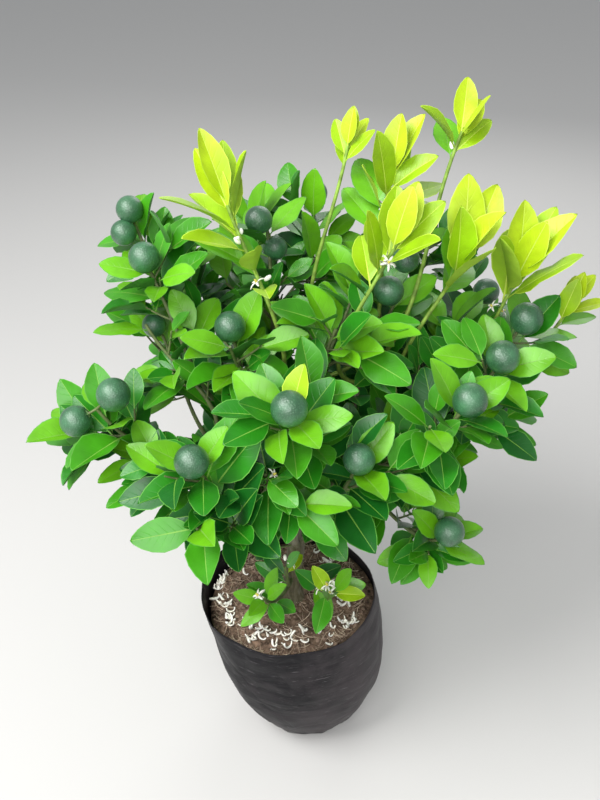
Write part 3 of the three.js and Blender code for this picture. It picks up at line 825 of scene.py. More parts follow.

# %% [markdown]
# ## Finishes
# Each finish is a plain colour that drifts a little over the piece, a roughness, and a relief.
# Leaves come in six plain greens, from the deep ones inside the crown to the yellow of this season's
# growth. The deeper greens low in the crown are partly the old leaves' own colour and partly painted
# shade, and a few shoots get paler or deeper greens as painted light and shade. They are dealt out leaf
# by leaf, so the crown keeps its tones whatever is done to its mesh.
# A picture could be wrapped round each piece, but a pattern made of noise has no seam and no blur.


# %% A finish is a recipe that feeds one shader
BLACK, WHITE = (0, 0, 0, 1), (1, 1, 1, 1)


def shaded(colour, amount):
    return (*[min(1, channel * amount) for channel in colour], 1)


class Finish(Recipe):
    def __init__(self, name, constants):
        self.material = bpy.data.materials.new(name)
        self.material.use_nodes = True
        super().__init__(self.material.node_tree)
        for title, value in constants.items():
            self.feed(title, value)

    def feed(self, title, value):
        self.give(self.tree.nodes["Principled BSDF"].inputs[title], value)

    def place(self):
        return self.add("ShaderNodeTexCoord", output="Object")

    def stretched(self, place, scale):
        return self.add("ShaderNodeMapping", inputs={"Vector": place, "Scale": scale})

    def cells(self, place, scale, feature="F1"):
        return self.add("ShaderNodeTexVoronoi", {"feature": feature}, {
            "Vector": place, "Scale": scale}, output="Distance")

    def axis(self, vector, letter):
        return self.add("ShaderNodeSeparateXYZ", inputs={0: vector}, output=letter)

    def ramp(self, value, stops):
        return self.add("ShaderNodeValToRGB", {"stops": stops}, {"Fac": value}, output="Color")

    def blend(self, share, first, second):
        return self.add("ShaderNodeMix", {"data_type": "RGBA"}, {
            "Factor_Float": share, "A_Color": first, "B_Color": second}, output="Result_Color")

    def drift(self, colour, scale, dark, light, detail=3):
        pattern = self.noise(self.place(), scale, detail)
        tones = [(0.3, shaded(colour, dark)), (0.7, shaded(colour, light))]
        self.feed("Base Color", self.ramp(pattern, tones))
        return pattern

    def relief(self, height, strength, distance):
        self.feed("Normal", self.add("ShaderNodeBump", inputs={
            "Height": height, "Strength": strength, "Distance": distance}))


# %% [markdown]
# A citrus blade is smooth and slightly waxy, with side veins that run up from the midrib. Cutting them into
# the mesh would cost many faces, so a sine of the place on the leaf raises them in the Bump node only.

# %% Leaf finishes
SIDE_VEINS = dict(count=27, slant=5.5, sharpness=6, depth=0.6)
GREENS = {
    "leaf_old": ((0.008, 0.115, 0.010), 0.34),
    "leaf_full": ((0.017, 0.182, 0.006), 0.34),
    "leaf_bright": ((0.045, 0.262, 0.006), 0.35),
    "leaf_fresh": ((0.120, 0.385, 0.007), 0.35),
    "leaf_young": ((0.29, 0.50, 0.006), 0.42),
    "leaf_tender": ((0.42, 0.585, 0.008), 0.45),
}
TRIMS = {
    "Rib": ("rib", (0.17, 0.38, 0.05), 0.5),
    "Young rib": ("rib_young", (0.56, 0.70, 0.10), 0.5),
    "Underside": ("leaf_underside", (0.065, 0.25, 0.035), 0.6),
    "Young underside": ("leaf_young_underside", (0.36, 0.56, 0.04), 0.6),
    "Margin": ("leaf_margin", (0.10, 0.34, 0.04), 0.5),
    "Young margin": ("leaf_young_margin", (0.50, 0.68, 0.06), 0.5),
}


def vein_relief(look):
    where = look.add("ShaderNodeUVMap", {"uv_map": "leaf"})
    across = look.size(look.axis(where, "X") * 2 - 1)
    slanted = look.axis(where, "Y") * SIDE_VEINS["count"] - across * SIDE_VEINS["slant"]
    veins = (1 - look.size(look.wave(slanted))) ** SIDE_VEINS["sharpness"]
    return veins * (across - 1) * SIDE_VEINS["depth"]


def blade_finish(name, colour, roughness):
    look = Finish(name, {"Coat Weight": 0.1, "Coat Roughness": 0.3, "Specular IOR Level": 0.4})
    drift = look.drift(colour, 42, 0.8, 1.2)
    look.feed("Roughness", drift * 0.2 + (roughness - 0.1))
    look.relief(vein_relief(look), 0.35, 0.0006)
    return look.material


def plain_finish(name, colour, roughness):
    look = Finish(name, {"Roughness": roughness, "Specular IOR Level": 0.35})
    look.drift(colour, 60, 0.85, 1.15)
    return look.material


blades = [blade_finish(name, *look) for name, look in GREENS.items()]
trims = {title: plain_finish(*look) for title, look in TRIMS.items()}
print("leaf finishes:", [material.name for material in blades])


# %% [markdown]
# Young citrus bark is grey-brown with fine grain along the stem and a little green growth. The peel is waxy
# and full of small oil glands. Both follow the piece's own place, because wood and fruit have no UV map.


# %% Wood, fruit and blossom finishes
def bark_finish():
    look = Finish("bark", {"Specular IOR Level": 0.25})
    place = look.place()
    grain = look.noise(look.stretched(place, (1, 1, 0.22)), 420, 4)
    wood = look.ramp(grain, [(0.35, (0.07, 0.055, 0.035, 1)), (0.65, (0.24, 0.21, 0.15, 1))])
    mossy = look.ramp(look.noise(place, 70, 2), [(0.45, (0.13, 0.13, 0.06, 1)), (0.6, (0.25, 0.24, 0.19, 1))])
    look.feed("Base Color", look.blend(0.4, wood, mossy))
    look.feed("Roughness", grain * 0.2 + 0.7)
    look.relief(grain, 0.6, 0.0008)
    return look.material


def twig_finish(name, colour):
    look = Finish(name, {"Specular IOR Level": 0.35, "Roughness": 0.55})
    streaks = look.drift(colour, 160, 0.6, 1.3, 2)
    look.relief(streaks, 0.3, 0.0004)
    return look.material


PEEL = dict(shaded=(0.013, 0.080, 0.026), lit=(0.044, 0.172, 0.070, 1), gland=(0.20, 0.42, 0.25, 1))


def peel_finish():
    look = Finish("peel", {"Coat Weight": 1.0, "Coat Roughness": 0.46, "Specular IOR Level": 0.5})
    place = look.place()
    pits, flush = look.cells(place, 780), look.noise(place, 60, 2)
    skin = look.ramp(flush, [(0.3, shaded(PEEL["shaded"], 0.75)), (0.7, PEEL["lit"])])
    glands = look.ramp(pits, [(0.1, WHITE), (0.28, BLACK)])
    look.feed("Base Color", look.blend(glands * 0.4, skin, PEEL["gland"]))
    look.feed("Roughness", flush * 0.2 + 0.3)
    look.relief(pits, 0.5, 0.0006)
    return look.material


def petal_finish():
    look = Finish("petal", {"Roughness": 0.6, "Specular IOR Level": 0.3})
    drift = look.noise(look.place(), 200, 2)
    look.feed("Base Color", look.ramp(drift, [(0.35, (0.93, 0.90, 0.76, 1)), (0.6, (1.0, 0.99, 0.93, 1))]))
    return look.material


bark, peel, petal = bark_finish(), peel_finish(), petal_finish()
twig_green = twig_finish("twig_green", (0.13, 0.17, 0.06))
twig_young = twig_finish("twig_young", (0.22, 0.36, 0.05))
calyx = plain_finish("calyx", (0.10, 0.20, 0.06), 0.6)
stamen = plain_finish("stamen", (0.62, 0.55, 0.10), 0.6)


# %% [markdown]
# The film was black and shiny once. Now dust lies on it and handling has scratched it. One side is paler,
# partly from dust and partly a painted sheen, and a painted glint runs along a crumple near its foot.
# Each of these is a mask between two plain colours, so each can be turned down alone.

# %% Bag and soil finishes
# where a pale glint is painted along a crumple low on the film
GLINT_FOLD = dict(height=0.034, wander=0.035, thinness=900)
FILM_LOOK = dict(clean=(0.0065, 0.0060, 0.0075, 1), dust_and_sheen=(0.112, 0.095, 0.100, 1),
                 scratch=(0.26, 0.24, 0.25, 1), painted_glint=(0.36, 0.35, 0.36, 1))


def film_colour(look, place, dust, smear):
    height, side = look.axis(place, "Z"), look.axis(place, "X")
    # dust and painted sheen: random dust, a little more low down, and one side (towards +X) painted paler as
    # a sheen
    dust_and_sheen = look.ramp(dust * 0.75 + smear * 0.25 + side * 3 - height * 0.3, [(0.36, BLACK), (0.8, WHITE)])
    # painted glint: a thin pale line that wanders round the film near its foot, shown only where the smear
    # mask lets it
    crumple = look.size(height - GLINT_FOLD["height"] + (dust - 0.5) * GLINT_FOLD["wander"])
    fold = 1 - look.least(crumple * GLINT_FOLD["thinness"], 1)
    painted_glint = look.ramp(smear, [(0.5, BLACK), (0.66, WHITE)])
    rubbed = look.noise(look.stretched(place, (1, 1, 8)), 75, 5, 0.7)
    scratches = look.ramp(rubbed, [(0.6, BLACK), (0.7, WHITE)])
    skin = look.blend(dust_and_sheen * 0.6, FILM_LOOK["clean"], FILM_LOOK["dust_and_sheen"])
    skin = look.blend(scratches * 0.35, skin, FILM_LOOK["scratch"])
    return look.blend(fold * painted_glint * 0.6, skin, FILM_LOOK["painted_glint"])


def film_finish():
    look = Finish("film", {"Specular IOR Level": 0.16})
    place = look.place()
    dust = look.noise(place, 26, 5, 0.65)
    smear = look.noise(look.stretched(place, (0.7, 0.7, 8)), 22, 4)
    look.feed("Base Color", film_colour(look, place, dust, smear))
    look.feed("Roughness", look.ramp(dust, [(0.3, (0.36, 0.36, 0.36, 1)), (0.7, (0.6, 0.6, 0.6, 1))]))
    wander = look.add("ShaderNodeTexNoise", inputs={"Vector": place, "Scale": 30}, output="Color")
    crinkles = look.cells(place + wander * 0.02, 34, "DISTANCE_TO_EDGE")
    look.relief(look.least(crinkles, 0.25) * 2 + smear * 0.4, 0.45, 0.002)
    return look.material


def soil_finish(name, dark, light):
    look = Finish(name, {"Specular IOR Level": 0.15})
    place = look.place()
    grains = look.noise(place, 230, 5, 0.7)
    mixed = grains * 0.7 + look.noise(place, 40) * 0.3
    look.feed("Base Color", look.ramp(mixed, [(0.36, dark), (0.62, light)]))
    look.feed("Roughness", grains * 0.2 + 0.78)
    look.relief(grains, 0.9, 0.002)
    return look.material


film = film_finish()
soil = soil_finish("soil", (0.016, 0.010, 0.007, 1), (0.30, 0.20, 0.14, 1))
crumb = soil_finish("crumb", (0.05, 0.032, 0.022, 1), (0.42, 0.30, 0.22, 1))
fibre = soil_finish("fibre", (0.30, 0.22, 0.15, 1), (0.72, 0.58, 0.44, 1))
print("finishes:", len(bpy.data.materials))

# %% [markdown]
# ## From a rule to a mesh
# A piece starts as bare points or lines that carry numbers. A Geometry Nodes tree turns them into leaves,
# twigs or fruit. A loop in Python could write the same faces, but the tree does it at once and its inputs
# stay open to change. Its result is made a plain mesh, so the finished piece has no modifier.


# %% Meshes that carry numbers
def numbered_mesh(name, points, attributes, edges=(), faces=()):
    mesh = bpy.data.meshes.new(name)
    mesh.from_pydata([list(map(float, place)) for place in points], list(edges), list(faces))
    for key, values in attributes.items():
        values = np.array(values)
        kind, field = ("FLOAT_VECTOR", "vector") if values.ndim == 2 else ("FLOAT", "value")
        if values.dtype.kind == "i":
            kind = "INT"
        mesh.attributes.new(key, kind, "POINT").data.foreach_set(field, values.ravel())
    return mesh


def face_numbers(mesh, key, values):
    mesh.attributes.new(key, "INT", "FACE").data.foreach_set("value", values)


def piece_of(name, mesh, material=None):
    piece = bpy.data.objects.new(name, mesh)
    scene.collection.objects.link(piece)
    if material:
        mesh.materials.append(material)
        mesh.shade_smooth()
    return piece


# %% Geometry Nodes trees
class Growth(Recipe):
    def __init__(self, name, sockets, materials):
        super().__init__(bpy.data.node_groups.new(name, "GeometryNodeTree"))
        face = self.tree.interface
        face.new_socket("Geometry", in_out="OUTPUT", socket_type="NodeSocketGeometry")
        face.new_socket("Geometry", in_out="INPUT", socket_type="NodeSocketGeometry")
        for title, kind, value in [*sockets, *[(title, "Material", None) for title in materials]]:
            socket = face.new_socket(title, in_out="INPUT", socket_type="NodeSocket" + kind)
            if value is not None:
                socket.default_value = value
        group = self.tree.nodes.new("NodeGroupInput")
        self.given = {socket.name: Wire(self, socket) for socket in group.outputs if socket.name}

    def carried(self, name, kind="FLOAT"):
        return self.add("GeometryNodeInputNamedAttribute", {"data_type": kind}, {"Name": name})

    def compare(self, value, number, operation="EQUAL"):
        return self.add("FunctionNodeCompare", {"data_type": "INT", "operation": operation}, {
            "A_INT": value, "B_INT": number})

    def both(self, first, second):
        return self.add("FunctionNodeBooleanMath", {"operation": "AND"}, {0: first, 1: second})

    def chance(self, low, high, seed):
        return self.add("FunctionNodeRandomValue", inputs={"Min_001": low, "Max_001": high, "Seed": seed})

    def shape_of(self, title):
        return self.add("GeometryNodeObjectInfo", inputs={"Object": self.given[title]}, output="Geometry")

    def moved(self, geometry, **inputs):
        return self.add("GeometryNodeSetPosition", inputs={"Geometry": geometry, **inputs})

    def realized(self, geometry):
        return self.add("GeometryNodeRealizeInstances", inputs={"Geometry": geometry})

    def painted(self, geometry, title, selection=True):
        return self.add("GeometryNodeSetMaterial", inputs={
            "Geometry": geometry, "Selection": selection, "Material": self.given[title]})

    def done(self, geometry):
        self.give(self.tree.nodes.new("NodeGroupOutput").inputs[0], geometry)
        return self.tree


def grown_piece(name, mesh, tree, values):
    piece = piece_of(name, mesh)
    modifier = piece.modifiers.new("growth", "NODES")
    modifier.node_group = tree
    for socket in tree.interface.items_tree:
        if socket.in_out == "INPUT" and socket.name in values:
            modifier[socket.identifier] = values[socket.name]
    settled = piece.evaluated_get(bpy.context.evaluated_depsgraph_get())
    plain = bpy.data.meshes.new_from_object(settled)
    piece.modifiers.remove(modifier)
    piece.data = plain
    return piece


def forget(*things):
    for thing in things:
        bpy.data.objects.remove(thing)


# %% [markdown]
# ## Leaves
# A citrus leaf is a stiff ellipse on a short stalk, folded a little along a pale midrib, arched down to
# its tip, with a paler underside. One flat blank holds its outline in a few rows of faces. Its vertices
# know how far along and across the leaf they are, and the tree bends each copy by the numbers that its
# point carries: two directions, a length, a width, an arch, a fold and a wave. Modelling each leaf alone
# would take days, and copies that don't bend look like stamped metal.

# %% The outline of a leaf
BLADE_ROWS = 8
STALK_HALF, RIB_HALF, RIB_MOST = 0.06, 0.042, 0.6
MARGIN_WIDTH, MARGIN_MOST, KEEL_DEPTH = 0.05, 0.2, 2.4
BLADE, RIB, UNDERSIDE, MARGIN = 0, 1, 2, 3
TOP_ZONES = (MARGIN, BLADE, RIB, BLADE, MARGIN)


def blade_half(share):
    return math.sin(math.pi * share ** 0.95) ** (0.82 - 0.16 * share)


def blank_rows():
    rows = [(0, STALK_HALF), (LEAF["petiole"], STALK_HALF)]
    for row in range(1, BLADE_ROWS):
        share = (1 - math.cos(math.pi * row / BLADE_ROWS)) / 2
        rows.append((mix(LEAF["petiole"], 1, share), blade_half(share)))
    return rows


print("half widths along the blade:", [round(half_width, 2) for _, half_width in blank_rows()])


# %% A blank that remembers its corners and faces
class Blank:
    """The outline of a leaf, as corners that know their place on it, and faces that know their zone."""

    def __init__(self):
        self.points, self.faces, self.zones = [], [], []
        self.numbers = dict(reach=[], across=[], half=[], under=[])

    def corner(self, along, half_width, across, depth=0):
        self.points.append((across * half_width / 4, along, 0))
        for values, value in zip(self.numbers.values(), (along, across, half_width, depth)):
            values.append(float(value))
        return len(self.points) - 1

    def face(self, corners, zone):
        self.faces.append(corners)
        self.zones.append(zone)

    def strip(self, along, half_width):
        rib = min(RIB_MOST, RIB_HALF * (1.2 - along) / half_width)
        inner = 1 - min(MARGIN_MOST, MARGIN_WIDTH / half_width)
        top = [self.corner(along, half_width, across) for across in (-1, -inner, -rib, rib, inner, 1)]
        keel = [self.corner(along, half_width, *spot) for spot in ((inner, 1), (0, KEEL_DEPTH), (-inner, 1))]
        return top, [top[-1], *keel, top[0]]

    def join(self, strip, next_strip):
        (top, bottom), (next_top, next_bottom) = strip, next_strip
        for i, zone in enumerate(TOP_ZONES):
            self.face((top[i], top[i + 1], next_top[i + 1], next_top[i]), zone)
        for i in range(len(bottom) - 1):
            self.face((bottom[i + 1], next_bottom[i + 1], next_bottom[i], bottom[i]), UNDERSIDE)

    def close(self, strip, end, order):
        top, bottom = strip
        for i, zone in enumerate(TOP_ZONES):
            self.face((top[i], top[i + 1], end)[::order], zone)
        for i in range(len(bottom) - 1):
            self.face((bottom[i], bottom[i + 1], end)[::order], UNDERSIDE)


# %% The blank of a leaf
def leaf_blank():
    leaf = Blank()
    strips = [leaf.strip(along, half_width) for along, half_width in blank_rows()]
    for strip, next_strip in zip(strips, strips[1:]):
        leaf.join(strip, next_strip)
    root, tip = leaf.corner(-0.02, STALK_HALF, 0), leaf.corner(1, STALK_HALF, 0)
    leaf.close(strips[0], root, -1)
    leaf.close(strips[-1], tip, 1)
    mesh = numbered_mesh("leaf_blank", leaf.points, leaf.numbers, faces=leaf.faces)
    mesh.shade_smooth()
    face_numbers(mesh, "zone", leaf.zones)
    rims = {frozenset((strip[0][end], next_strip[0][end]))
            for strip, next_strip in zip(strips, strips[1:]) for end in (0, -1)}
    sharp = [frozenset(edge.vertices) in rims for edge in mesh.edges]
    mesh.attributes.new("sharp_edge", "BOOLEAN", "EDGE").data.foreach_set("value", sharp)
    across, reach = leaf.numbers["across"], leaf.numbers["reach"]
    corners = [(across[corner.vertex_index] / 2 + 0.5, reach[corner.vertex_index]) for corner in mesh.loops]
    mesh.uv_layers.new(name="leaf").data.foreach_set("uv", np.array(corners).ravel())
    return piece_of("leaf_blank", mesh)


blank = leaf_blank()
print("a leaf has", len(blank.data.polygons), "faces")


# %% The tree that bends and paints the leaves
FULL_TURN = 6.28
LEAF_CHANCES = (("fold", 0.3, 1.7), ("wave", 0.0, 1.8), ("phase", 0, FULL_TURN))
LAST_MATURE = 3


def leaf_tree():
    growth = Growth("leaf_growth", [
        ("Blank", "Object", None), ("Seed", "Int", 7), ("Thickness", "Float", 0.00022),
        ("Fold", "Float", 0.25), ("Curl", "Float", 0.1), ("Wave", "Float", 0.045)],
        [*[f"Blade {i}" for i in range(len(blades))], *trims])
    points = growth.given["Geometry"]
    for step, (name, low, high) in enumerate(LEAF_CHANCES):
        chance = growth.chance(low, high, growth.given["Seed"] + step)
        points = growth.add("GeometryNodeStoreNamedAttribute", inputs={
            "Geometry": points, "Name": name, "Value": chance})
    copies = growth.add("GeometryNodeInstanceOnPoints", inputs={
        "Points": points, "Instance": growth.shape_of("Blank")})
    leaves = growth.moved(growth.realized(copies), Position=bent_place(growth))
    shade, zone = growth.carried("shade", "INT"), growth.carried("zone", "INT")
    is_young = growth.compare(shade, LAST_MATURE, "GREATER_THAN")
    for i in range(len(blades)):
        leaves = growth.painted(leaves, f"Blade {i}", growth.compare(shade, i))
    for number, title in ((RIB, "Rib"), (UNDERSIDE, "Underside"), (MARGIN, "Margin")):
        part = growth.compare(zone, number)
        leaves = growth.painted(leaves, title, part)
        leaves = growth.painted(leaves, "Young " + title.lower(), growth.both(part, is_young))
    return growth.done(leaves)


def bent_place(growth):
    reach, across, half = [growth.carried(name) for name in ("reach", "across", "half")]
    long, wide, arch = [growth.carried(name) for name in ("length", "width", "arch")]
    along, face, root = [growth.carried(name, "FLOAT_VECTOR") for name in ("along", "face", "root")]
    side = growth.cross(along, face)
    out = growth.size(across) * half
    fold = out * growth.given["Fold"] * growth.carried("fold")
    curl = out * out * growth.given["Curl"]
    ripple = growth.wave(reach * 10 + across * 1.5 + growth.carried("phase")) * out * out
    ripple = ripple * growth.given["Wave"] * growth.carried("wave")
    lift = (fold - curl + ripple) * wide - growth.carried("under") * growth.given["Thickness"]
    drop = arch * long * reach * reach
    return root + along * (long * reach) + side * (across * half * wide * 0.5) + face * (lift - drop)


leaf_growth = leaf_tree()


# %% Which green each leaf takes
FLUSH = {"shoot_front_middle": (1,), "shoot_foot_front": (2, 3), "shoot_foot_middle": (1,)}
# painted light and shade: leaves of these shoots are dealt paler or deeper greens to stand in for how the
# lamps fall on them
PAINTED_LIGHT = {"shoot_right_low": 0.45, "shoot_foot_middle": 0.1, "shoot_left_front": -0.16}
# the weight on height in the crown deals painted shade to the lower leaves
VIGOUR = dict(chance=0.33, young=1.1, young_ageing=1.1, young_chance=0.7, foot=0.7,
              mature=0.9, ageing=0.62, height_shade=0.8, middle=0.6, crown=300)
YOUNG_STEPS = ((0.75, 5), (0.1, 4))
MATURE_STEPS = ((0.8, 3), (0.56, 2), (0.26, 1))


def step_of(vigour, steps, last):
    return next((shade for limit, shade in steps if vigour > limit), last)


def shade_of(grown, number, leaf, dice):
    chance = dice.between(-VIGOUR["chance"], VIGOUR["chance"])
    if number in FLUSH.get(grown["name"], ()):
        return 4
    if grown["plan"]["young"]:
        vigour = VIGOUR["young"] - leaf["age"] * VIGOUR["young_ageing"] + chance * VIGOUR["young_chance"]
        return step_of(vigour, YOUNG_STEPS, 3)
    height = (leaf["root"][2] - BAG["height"]) / VIGOUR["crown"]
    vigour = VIGOUR["mature"] - leaf["age"] * VIGOUR["ageing"]
    # painted shade, partly the older leaves' own colour: leaves lower in the crown are dealt deeper greens,
    # higher ones paler
    vigour = vigour + (height - VIGOUR["middle"]) * VIGOUR["height_shade"] + chance
    # painted light and shade by shoot; the suckers at the foot get fresher greens, partly their own young
    # colour and partly painted light
    vigour += PAINTED_LIGHT.get(grown["name"], VIGOUR["foot"] if grown["group"] == "foot" else 0)
    return step_of(vigour, MATURE_STEPS, 0)


def leaf_points(name, rows):
    leaves = [leaf for leaf, _ in rows]
    numbers = {key: [leaf[key] * MM for leaf in leaves] for key in ("root", "length", "width")}
    numbers.update({key: [leaf[key] for leaf in leaves] for key in ("along", "face", "arch")})
    numbers["shade"] = np.array([shade for _, shade in rows], dtype=np.int32)
    return numbered_mesh(name, numbers["root"], numbers)


leaf_rows = {}
for grown in shoots_grown + limbs_grown:
    dice = Dice(seed_of(grown["name"] + "_shade"))
    key = "leaves_young" if grown["plan"]["young"] else "leaves_" + grown["group"]
    for number, leaf in enumerate(grown["leaves"]):
        leaf_rows.setdefault(key, []).append((leaf, shade_of(grown, number, leaf, dice)))

leaf_inputs = {"Blank": blank, **trims, **{f"Blade {i}": blade for i, blade in enumerate(blades)}}
leaf_pieces = {name: grown_piece(name, leaf_points(name, rows), leaf_growth, leaf_inputs)
               for name, rows in leaf_rows.items()}
forget(blank)
print("leaf pieces:", {name: len(piece.data.polygons) for name, piece in leaf_pieces.items()})

# %% [markdown]
# ## Twigs
# Green twigs are round and taper to their tip. Each is a line of points that carry a radius. The tree makes
# the line a curve and sweeps a small circle along it. A skin modifier could round them too, but a swept
# circle keeps each radius exact. A fruit's stalk is such a line too, and ends inside the fruit.


# %% The tree that sweeps twigs
STEPS = dict(long=9, least=3, sunk=1.5)
STALK = dict(middle=0.6, sunk=0.8, radii=[1.1, 1.0, 1.5])


def twig_tree():
    growth = Growth("twig_growth", [("Sides", "Int", 7)], ["Bark", "Young bark"])
    curve = growth.add("GeometryNodeMeshToCurve", inputs={"Mesh": growth.given["Geometry"]})
    circle = growth.add("GeometryNodeCurvePrimitiveCircle", inputs={
        "Resolution": growth.given["Sides"], "Radius": 1.0})
    swept = growth.add("GeometryNodeCurveToMesh", inputs={
        "Curve": curve, "Profile Curve": circle, "Scale": growth.carried("thick"), "Fill Caps": True})
    wood = growth.painted(growth.realized(swept), "Bark")
    is_young = growth.compare(growth.carried("young", "INT"), 1)
    return growth.done(growth.painted(wood, "Young bark", is_young))


def twig_row(line, wood, shift, young):
    count = max(STEPS["least"], math.ceil(line.length / STEPS["long"]))
    places = [line.smooth(i / count) + shift for i in range(count + 1)]
    if wood is STEM:
        places[0] = line.smooth(0) - line.heading(0) * STEPS["sunk"]
    return places, [mix(wood["start"], wood["tip"], i / count) for i in range(count + 1)], young


def stalk_row(fruit, young):
    along = unit(fruit["centre"] - fruit["tip"])
    end = fruit["centre"] - along * fruit["radius"] * STALK["sunk"]
    return [fruit["tip"] - along, mix(fruit["tip"], end, STALK["middle"]), end], STALK["radii"], young


def twig_rows(grown):
    young = int(grown["plan"]["young"])
    lines = [(grown["line"], STEM, 0)] if "line" in grown else []
    lines += [(twig, TWIG, twig.shift) for twig in grown["twigs"]]
    lines += [(twig, FINE, twig.shift) for twig in grown["fine"]]
    return [twig_row(*line, young) for line in lines] + [stalk_row(fruit, young) for fruit in grown["fruit"]]


def twig_mesh(name, rows):
    places, thick, young, edges = [], [], [], []
    for line, radii, is_young in rows:
        first = len(places)
        places += [place * MM for place in line]
        thick += [radius * MM for radius in radii]
        young += [is_young] * len(line)
        edges += [(first + i, first + i + 1) for i in range(len(line) - 1)]
    return numbered_mesh(name, places, dict(thick=thick, young=np.array(young, dtype=np.int32)), edges)


twig_growth = twig_tree()
twig_inputs = {"Bark": twig_green, "Young bark": twig_young}
groups = [*CROWN, "foot"]
twig_pieces = {}
for group in groups:
    members = [grown for grown in shoots_grown + limbs_grown if grown["group"] == group]
    rows = [row for grown in members for row in twig_rows(grown)]
    piece = grown_piece(f"twigs_{group}", twig_mesh(f"twigs_{group}", rows), twig_growth, twig_inputs)
    piece.data.shade_smooth()
    twig_pieces[group] = piece
print("twig faces:", sum(len(piece.data.polygons) for piece in twig_pieces.values()))

# %% [markdown]
# ## Trunk and boughs
# The woody frame is one skin. Tapering tubes that run into each other at the forks are remeshed into one
# closed surface, smoothed so that the forks swell, and then given the relief of young citrus bark.
# Tubes that are only pushed into each other would show a hard ring at every fork.
# A tube is a stack of rings, as the fruit, the bag and the soil are later, so they share their faces' rule.


# %% Rings of points and the faces between them
def circle(sides):
    return [2 * math.pi * side / sides for side in range(sides)]


def around(first, sides):
    return [(first + side, first + (side + 1) % sides) for side in range(sides)]


def bands(first, sides, rings):
    return [(a, b, b + sides, a + sides)
            for ring in range(rings - 1) for a, b in around(first + ring * sides, sides)]


def turned_over(faces):
    return [(face[0], *face[:0:-1]) for face in faces]


def capped(sides, rings):
    """Rings closed by a flat face at both ends."""
    last = (rings - 1) * sides
    return bands(0, sides, rings) + [tuple(range(sides))[::-1], tuple(range(last, last + sides))]


def pointed(sides, rings):
    """Rings between a first and a last point of their own."""
    last = 1 + rings * sides
    first_fan = [(0, a, b) for a, b in around(1, sides)]
    last_fan = [(last, a, b) for a, b in around(last - sides, sides)]
    return turned_over(first_fan) + bands(1, sides, rings) + last_fan


def merged(parts):
    points, faces = [], []
    for part_points, part_faces in parts:
        faces += [tuple(len(points) + corner for corner in face) for face in part_faces]
        points += part_points
    return points, faces


def joined_mesh(name, parts, scale=MM):
    points, faces = merged(parts)
    mesh = bpy.data.meshes.new(name)
    mesh.from_pydata([tuple(map(float, place * scale)) for place in points], [], faces)
    return mesh


# %% Tapering tubes
TUBE = dict(steps=14, sunk=5, narrow=0.9, end=0.6, rounding=0.7, sides=20, trunk_sides=36)
TRUNK_HEIGHTS = [-0.2, 1.5, 3, 5, 8, 12, 16, 22, 30, 38, 46, 54, 60, 64, 67]


def tube(places, radii, sides=TUBE["sides"]):
    points = []
    across = unit(np.cross(places[1] - places[0], AWAY))
    for i, (place, radius) in enumerate(zip(places, radii)):
        along = unit(places[min(i + 1, len(places) - 1)] - places[max(i - 1, 0)])
        across = unit(across - along * float(across @ along))
        other = np.cross(along, across)
        points += [place + (across * math.cos(angle) + other * math.sin(angle)) * radius
                   for angle in circle(sides)]
    return points, capped(sides, len(places))


def limb_tube(line, wood):
    shares = [i / TUBE["steps"] for i in range(TUBE["steps"] + 1)]
    places = [line.smooth(0) - line.heading(0) * TUBE["sunk"], *[line.smooth(share) for share in shares]]
    radii = [wood["start"] * TUBE["narrow"], *[mix(wood["start"], wood["tip"], share) for share in shares]]
    end = places[-1] + line.heading(1) * wood["tip"] * TUBE["rounding"]
    return tube([*places, end], [*radii, wood["tip"] * TUBE["end"]])


def trunk_tube():
    radii = [trunk_radius(max(0, min(height, TRUNK["head_height"]))) for height in TRUNK_HEIGHTS]
    radii[-2:] = [radii[-3] * TUBE["narrow"], radii[-3] * TUBE["end"]]
    return tube([trunk_centre(height) for height in TRUNK_HEIGHTS], radii, TUBE["trunk_sides"])


# %% One skin with the relief of bark
SKIN = dict(voxel=0.0008, rounds=5, grain=0.6, lumps=0.8, level=0.75, stretch=(1, 1, 0.25))


def bark_tree():
    growth = Growth("bark_relief", [
        ("Relief", "Float", 0.0011), ("Grain", "Float", 190.0), ("Lumps", "Float", 60.0)], ["Bark"])
    given = growth.given
    place, normal = growth.add("GeometryNodeInputPosition"), growth.add("GeometryNodeInputNormal")
    stretched = growth.add("ShaderNodeVectorMath", {"operation": "MULTIPLY"}, {0: place, 1: SKIN["stretch"]})
    grain = growth.noise(stretched, given["Grain"], 3, 0.5)
    lumps = growth.noise(place, given["Lumps"], 1, 0.5)
    height = (grain * SKIN["grain"] + lumps * SKIN["lumps"] - SKIN["level"]) * given["Relief"]
    skin = growth.realized(growth.moved(given["Geometry"], Offset=normal * height))
    return growth.done(growth.painted(skin, "Bark"))


def remeshed(name, mesh):
    piece = piece_of(name, mesh)
    remesh = piece.modifiers.new("one_skin", "REMESH")
    remesh.mode = "VOXEL"
    remesh.voxel_size = SKIN["voxel"]
    smooth = piece.modifiers.new("soften", "SMOOTH")
    smooth.factor = 0.5
    smooth.iterations = SKIN["rounds"]
    plain = bpy.data.meshes.new_from_object(piece.evaluated_get(bpy.context.evaluated_depsgraph_get()))
    forget(piece)
    plain.shade_smooth()
    return plain


wood_parts = [trunk_tube(), *[limb_tube(line, wood) for _, _, line, wood in limbs]]
wood_mesh = remeshed("wood_rough", joined_mesh("wood_tubes", wood_parts))
wood_piece = grown_piece("limbs", wood_mesh, bark_tree(), {"Bark": bark})
print("wood faces:", len(wood_piece.data.polygons))

# %% [markdown]
# ## Fruit
# The young fruit are round, blue-green and pitted with oil glands. Each hangs on a short stalk with a small
# star-shaped calyx in a shallow dimple, and has a faint navel at its other end. A ball whose radius is a
# formula puts both where they belong. The copies turn with their stalks, so no two look alike.


